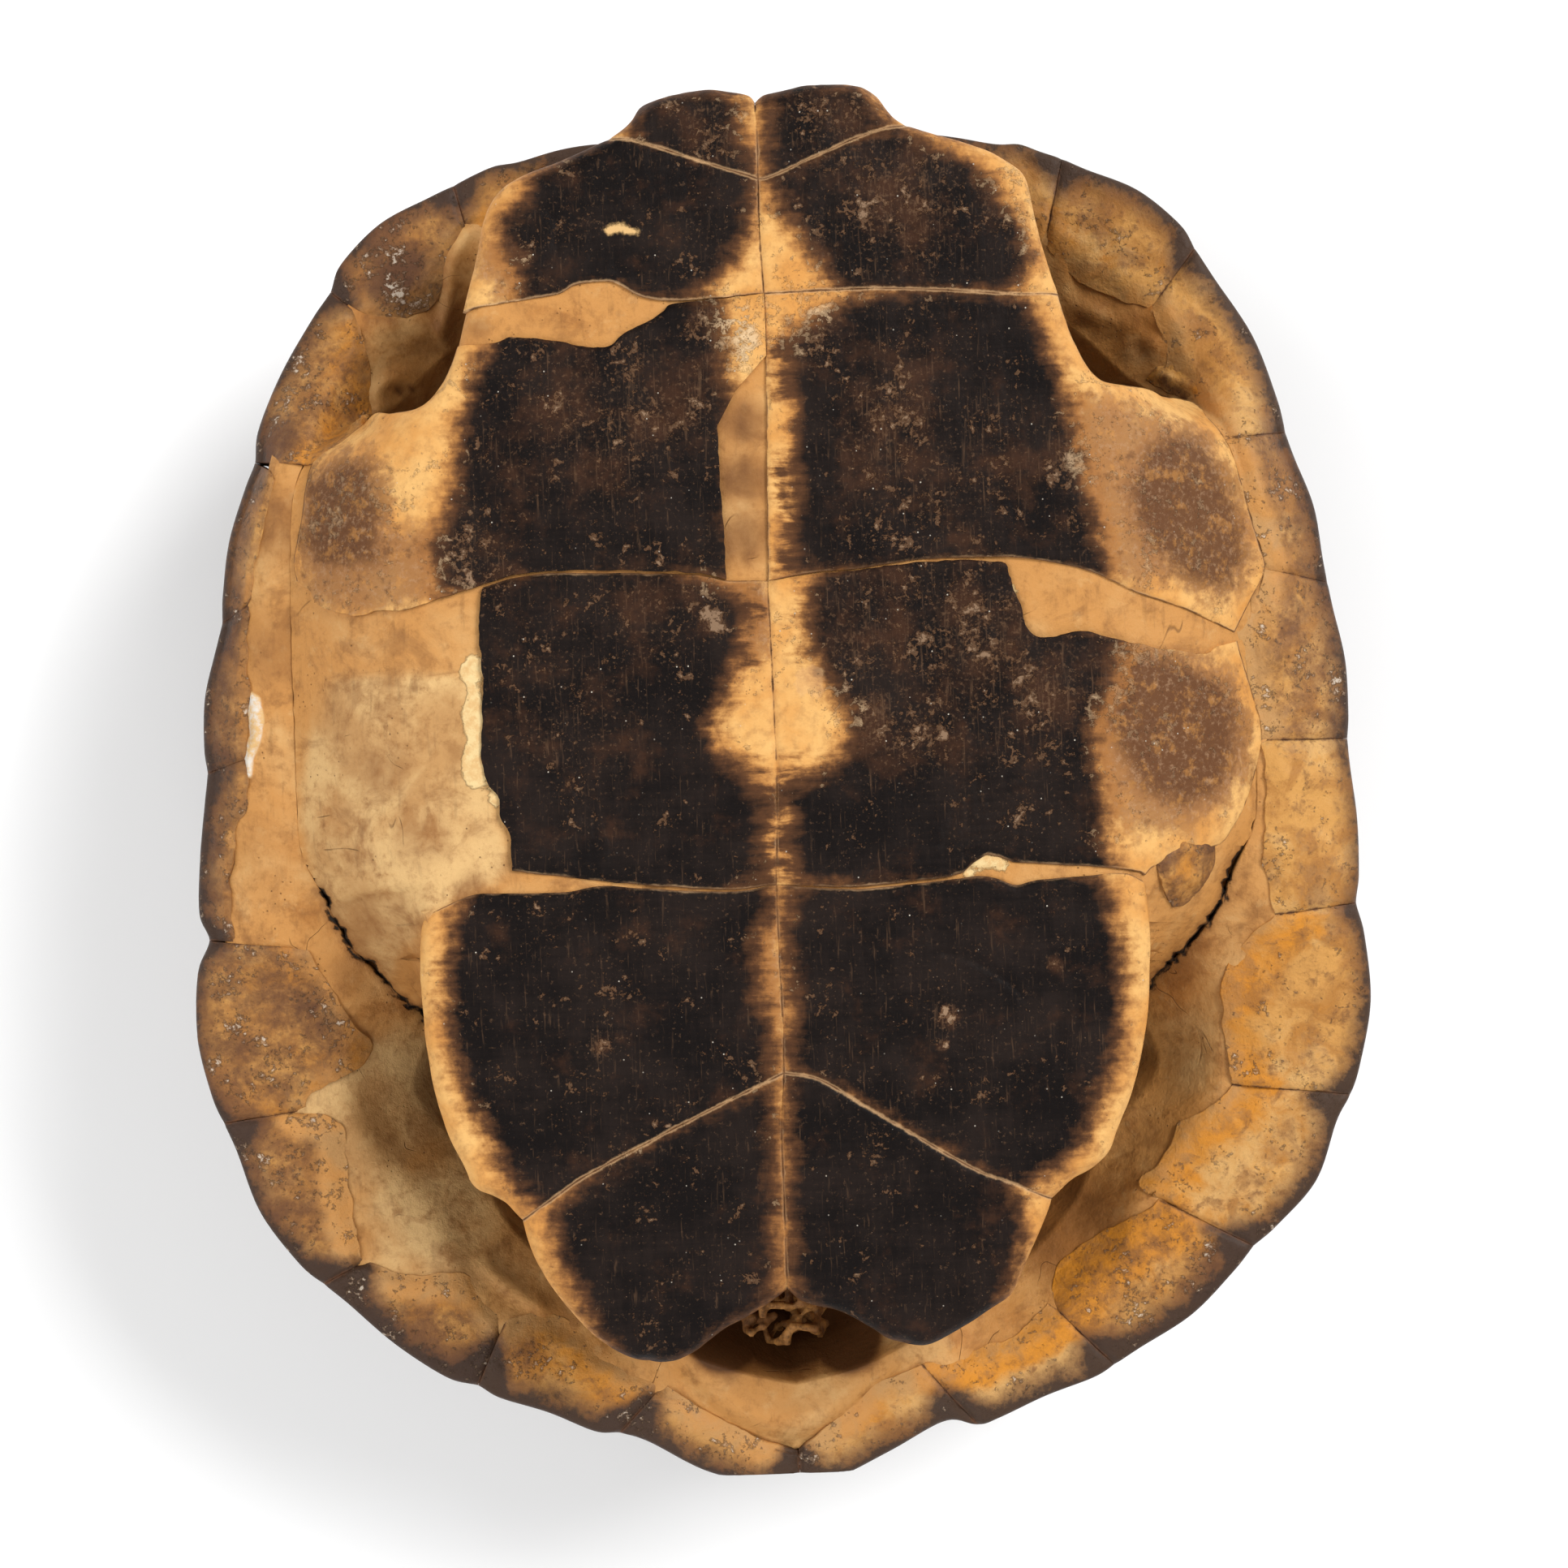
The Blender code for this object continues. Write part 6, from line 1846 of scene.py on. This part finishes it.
for side, sign in (("right", 1), ("left", -1)):
    for number in range(4):
        outer = dome_end(COSTAL_SEATS[number], COSTAL_SEATS[number + 1], sign)
        first = (corners[0] if number == 0 else tips[number - 1]) * (sign, 1)
        last = (corners[3] if number == 3 else tips[number]) * (sign, 1)
        inner = [first, corners[number] * (sign, 1), last] if 0 < number < 3 else [first, last]
        back_shield(f"costal_{side}_{number + 1}", [first, outer[0]], [last, outer[-1]], inner, outer)
print("pieces so far:", len(pieces_made))

# %% [markdown]
# ## The end of the backbone
# In the tail opening a spongy stump of the last vertebrae is left. Sponge bone is a net of thin struts, so
# short struts are set between random points near each other, and a voxel remesh grows them together.

# %% Grow the spongy bone
SPONGE_HALF = np.array((5.7, 5.8, 8.3))
STRUTS, STRUT_WIDTH = 250, (0.32, 0.66)


def sponge():
    random = np.random.default_rng(31)
    knots = random.uniform(-1, 1, (STRUTS, 3))
    knots = knots[np.sum(np.abs(knots) ** 3, axis=1) < 1.3] * SPONGE_HALF
    corners = [np.array(corner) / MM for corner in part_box("tail_vertebra")]
    centre = np.mean(corners, axis=0) - (0, CENTRE_SHIFT, 0)
    struts = bmesh.new()
    for knot in knots:
        gaps = np.linalg.norm(knots - knot, axis=1)
        for other in np.argsort(gaps)[1:4]:
            run = Vector(knots[other] - knot)
            width = random.uniform(*STRUT_WIDTH)
            sizes = {"radius1": width, "radius2": width * 0.8, "depth": run.length + width}
            made = bmesh.ops.create_cone(struts, segments=7, cap_ends=True, **sizes)
            turn = run.to_track_quat("Z", "Y")
            middle = (Vector(knots[other]) + Vector(knot)) / 2
            for vertex in made["verts"]:
                vertex.co = turn @ vertex.co + middle
    mesh = finished(struts, "sponge")
    order = np.arange(len(mesh.vertices))
    points = vertex_places(mesh) + centre
    piece = placed(mesh, points, order, {}, "tail_vertebra_bone", ["tail_vertebra"], sponge_bone)
    grown = piece.modifiers.new("Grown", "REMESH")
    grown.mode = "VOXEL"
    grown.voxel_size = 0.36 * MM
    grown.use_smooth_shade = True
    return piece

# %% Finish and make the sponge
def sponge_finish():
    paint = Finish("sponge_bone")
    cloud = paint.noise(3.0, detail=4.0)
    fine = paint.noise(0.7, shift=3.0, detail=5.0, rough=0.65)
    paint.colour = paint.mix(paint.step(cloud, 0.35, 0.65), TAN, STAIN)
    paint.lay(paint.step(fine, 0.4, 0.7) * 0.8, UMBER)
    return paint.done(0.5 + fine * 0.2, fine, 0.2)


sponge_bone = sponge_finish()
stump = sponge()
print("faces of the struts:", len(stump.data.polygons))

# %% [markdown]
# ## Floor, light and the end of the script
# A large pale floor and wide soft lights from above, as over a copy stand.

# %% Floor and light
sheet = bmesh.new()
bmesh.ops.create_grid(sheet, x_segments=1, y_segments=1, size=3.0)
floor = bpy.data.objects.new("floor", finished(sheet, "floor"))
bpy.context.scene.collection.objects.link(floor)
floor_paint = Finish("floor")
floor_paint.colour = floor_paint.mix(floor_paint.noise(300.0), (0.93, 0.93, 0.93), (0.90, 0.90, 0.90))
floor.data.materials.append(floor_paint.done(0.9, floor_paint.noise(40.0), 0.01))


def softbox(name, place, size, power):
    """A square area light that points at the shell."""
    light = bpy.data.lights.new(name, "AREA")
    light.size = size
    light.energy = power
    lamp = bpy.data.objects.new(name, light)
    lamp.location = place
    lamp.rotation_euler = (Vector((0, 0, 0.04)) - Vector(place)).to_track_quat("-Z", "Y").to_euler()
    lamp.visible_camera = False
    bpy.context.scene.collection.objects.link(lamp)


softbox("key", (1.8, 1.2, 2.1), 1.4, 90.0)
softbox("fill", (-2.1, 0.1, 2.0), 2.4, 50.0)
softbox("front", (-0.2, -2.2, 1.9), 1.5, 25.0)
world = bpy.data.worlds.new("studio")
world.use_nodes = True
world.node_tree.nodes["Background"].inputs["Color"].default_value = (1.0, 1.0, 1.0, 1.0)
world.node_tree.nodes["Background"].inputs["Strength"].default_value = 0.37
bpy.context.scene.world = world
bpy.context.scene.view_settings.view_transform = "Standard"

# %% The number of pieces and of their faces
print("pieces:", len(pieces_made), "faces:", sum(len(piece.data.polygons) for piece in pieces_made))
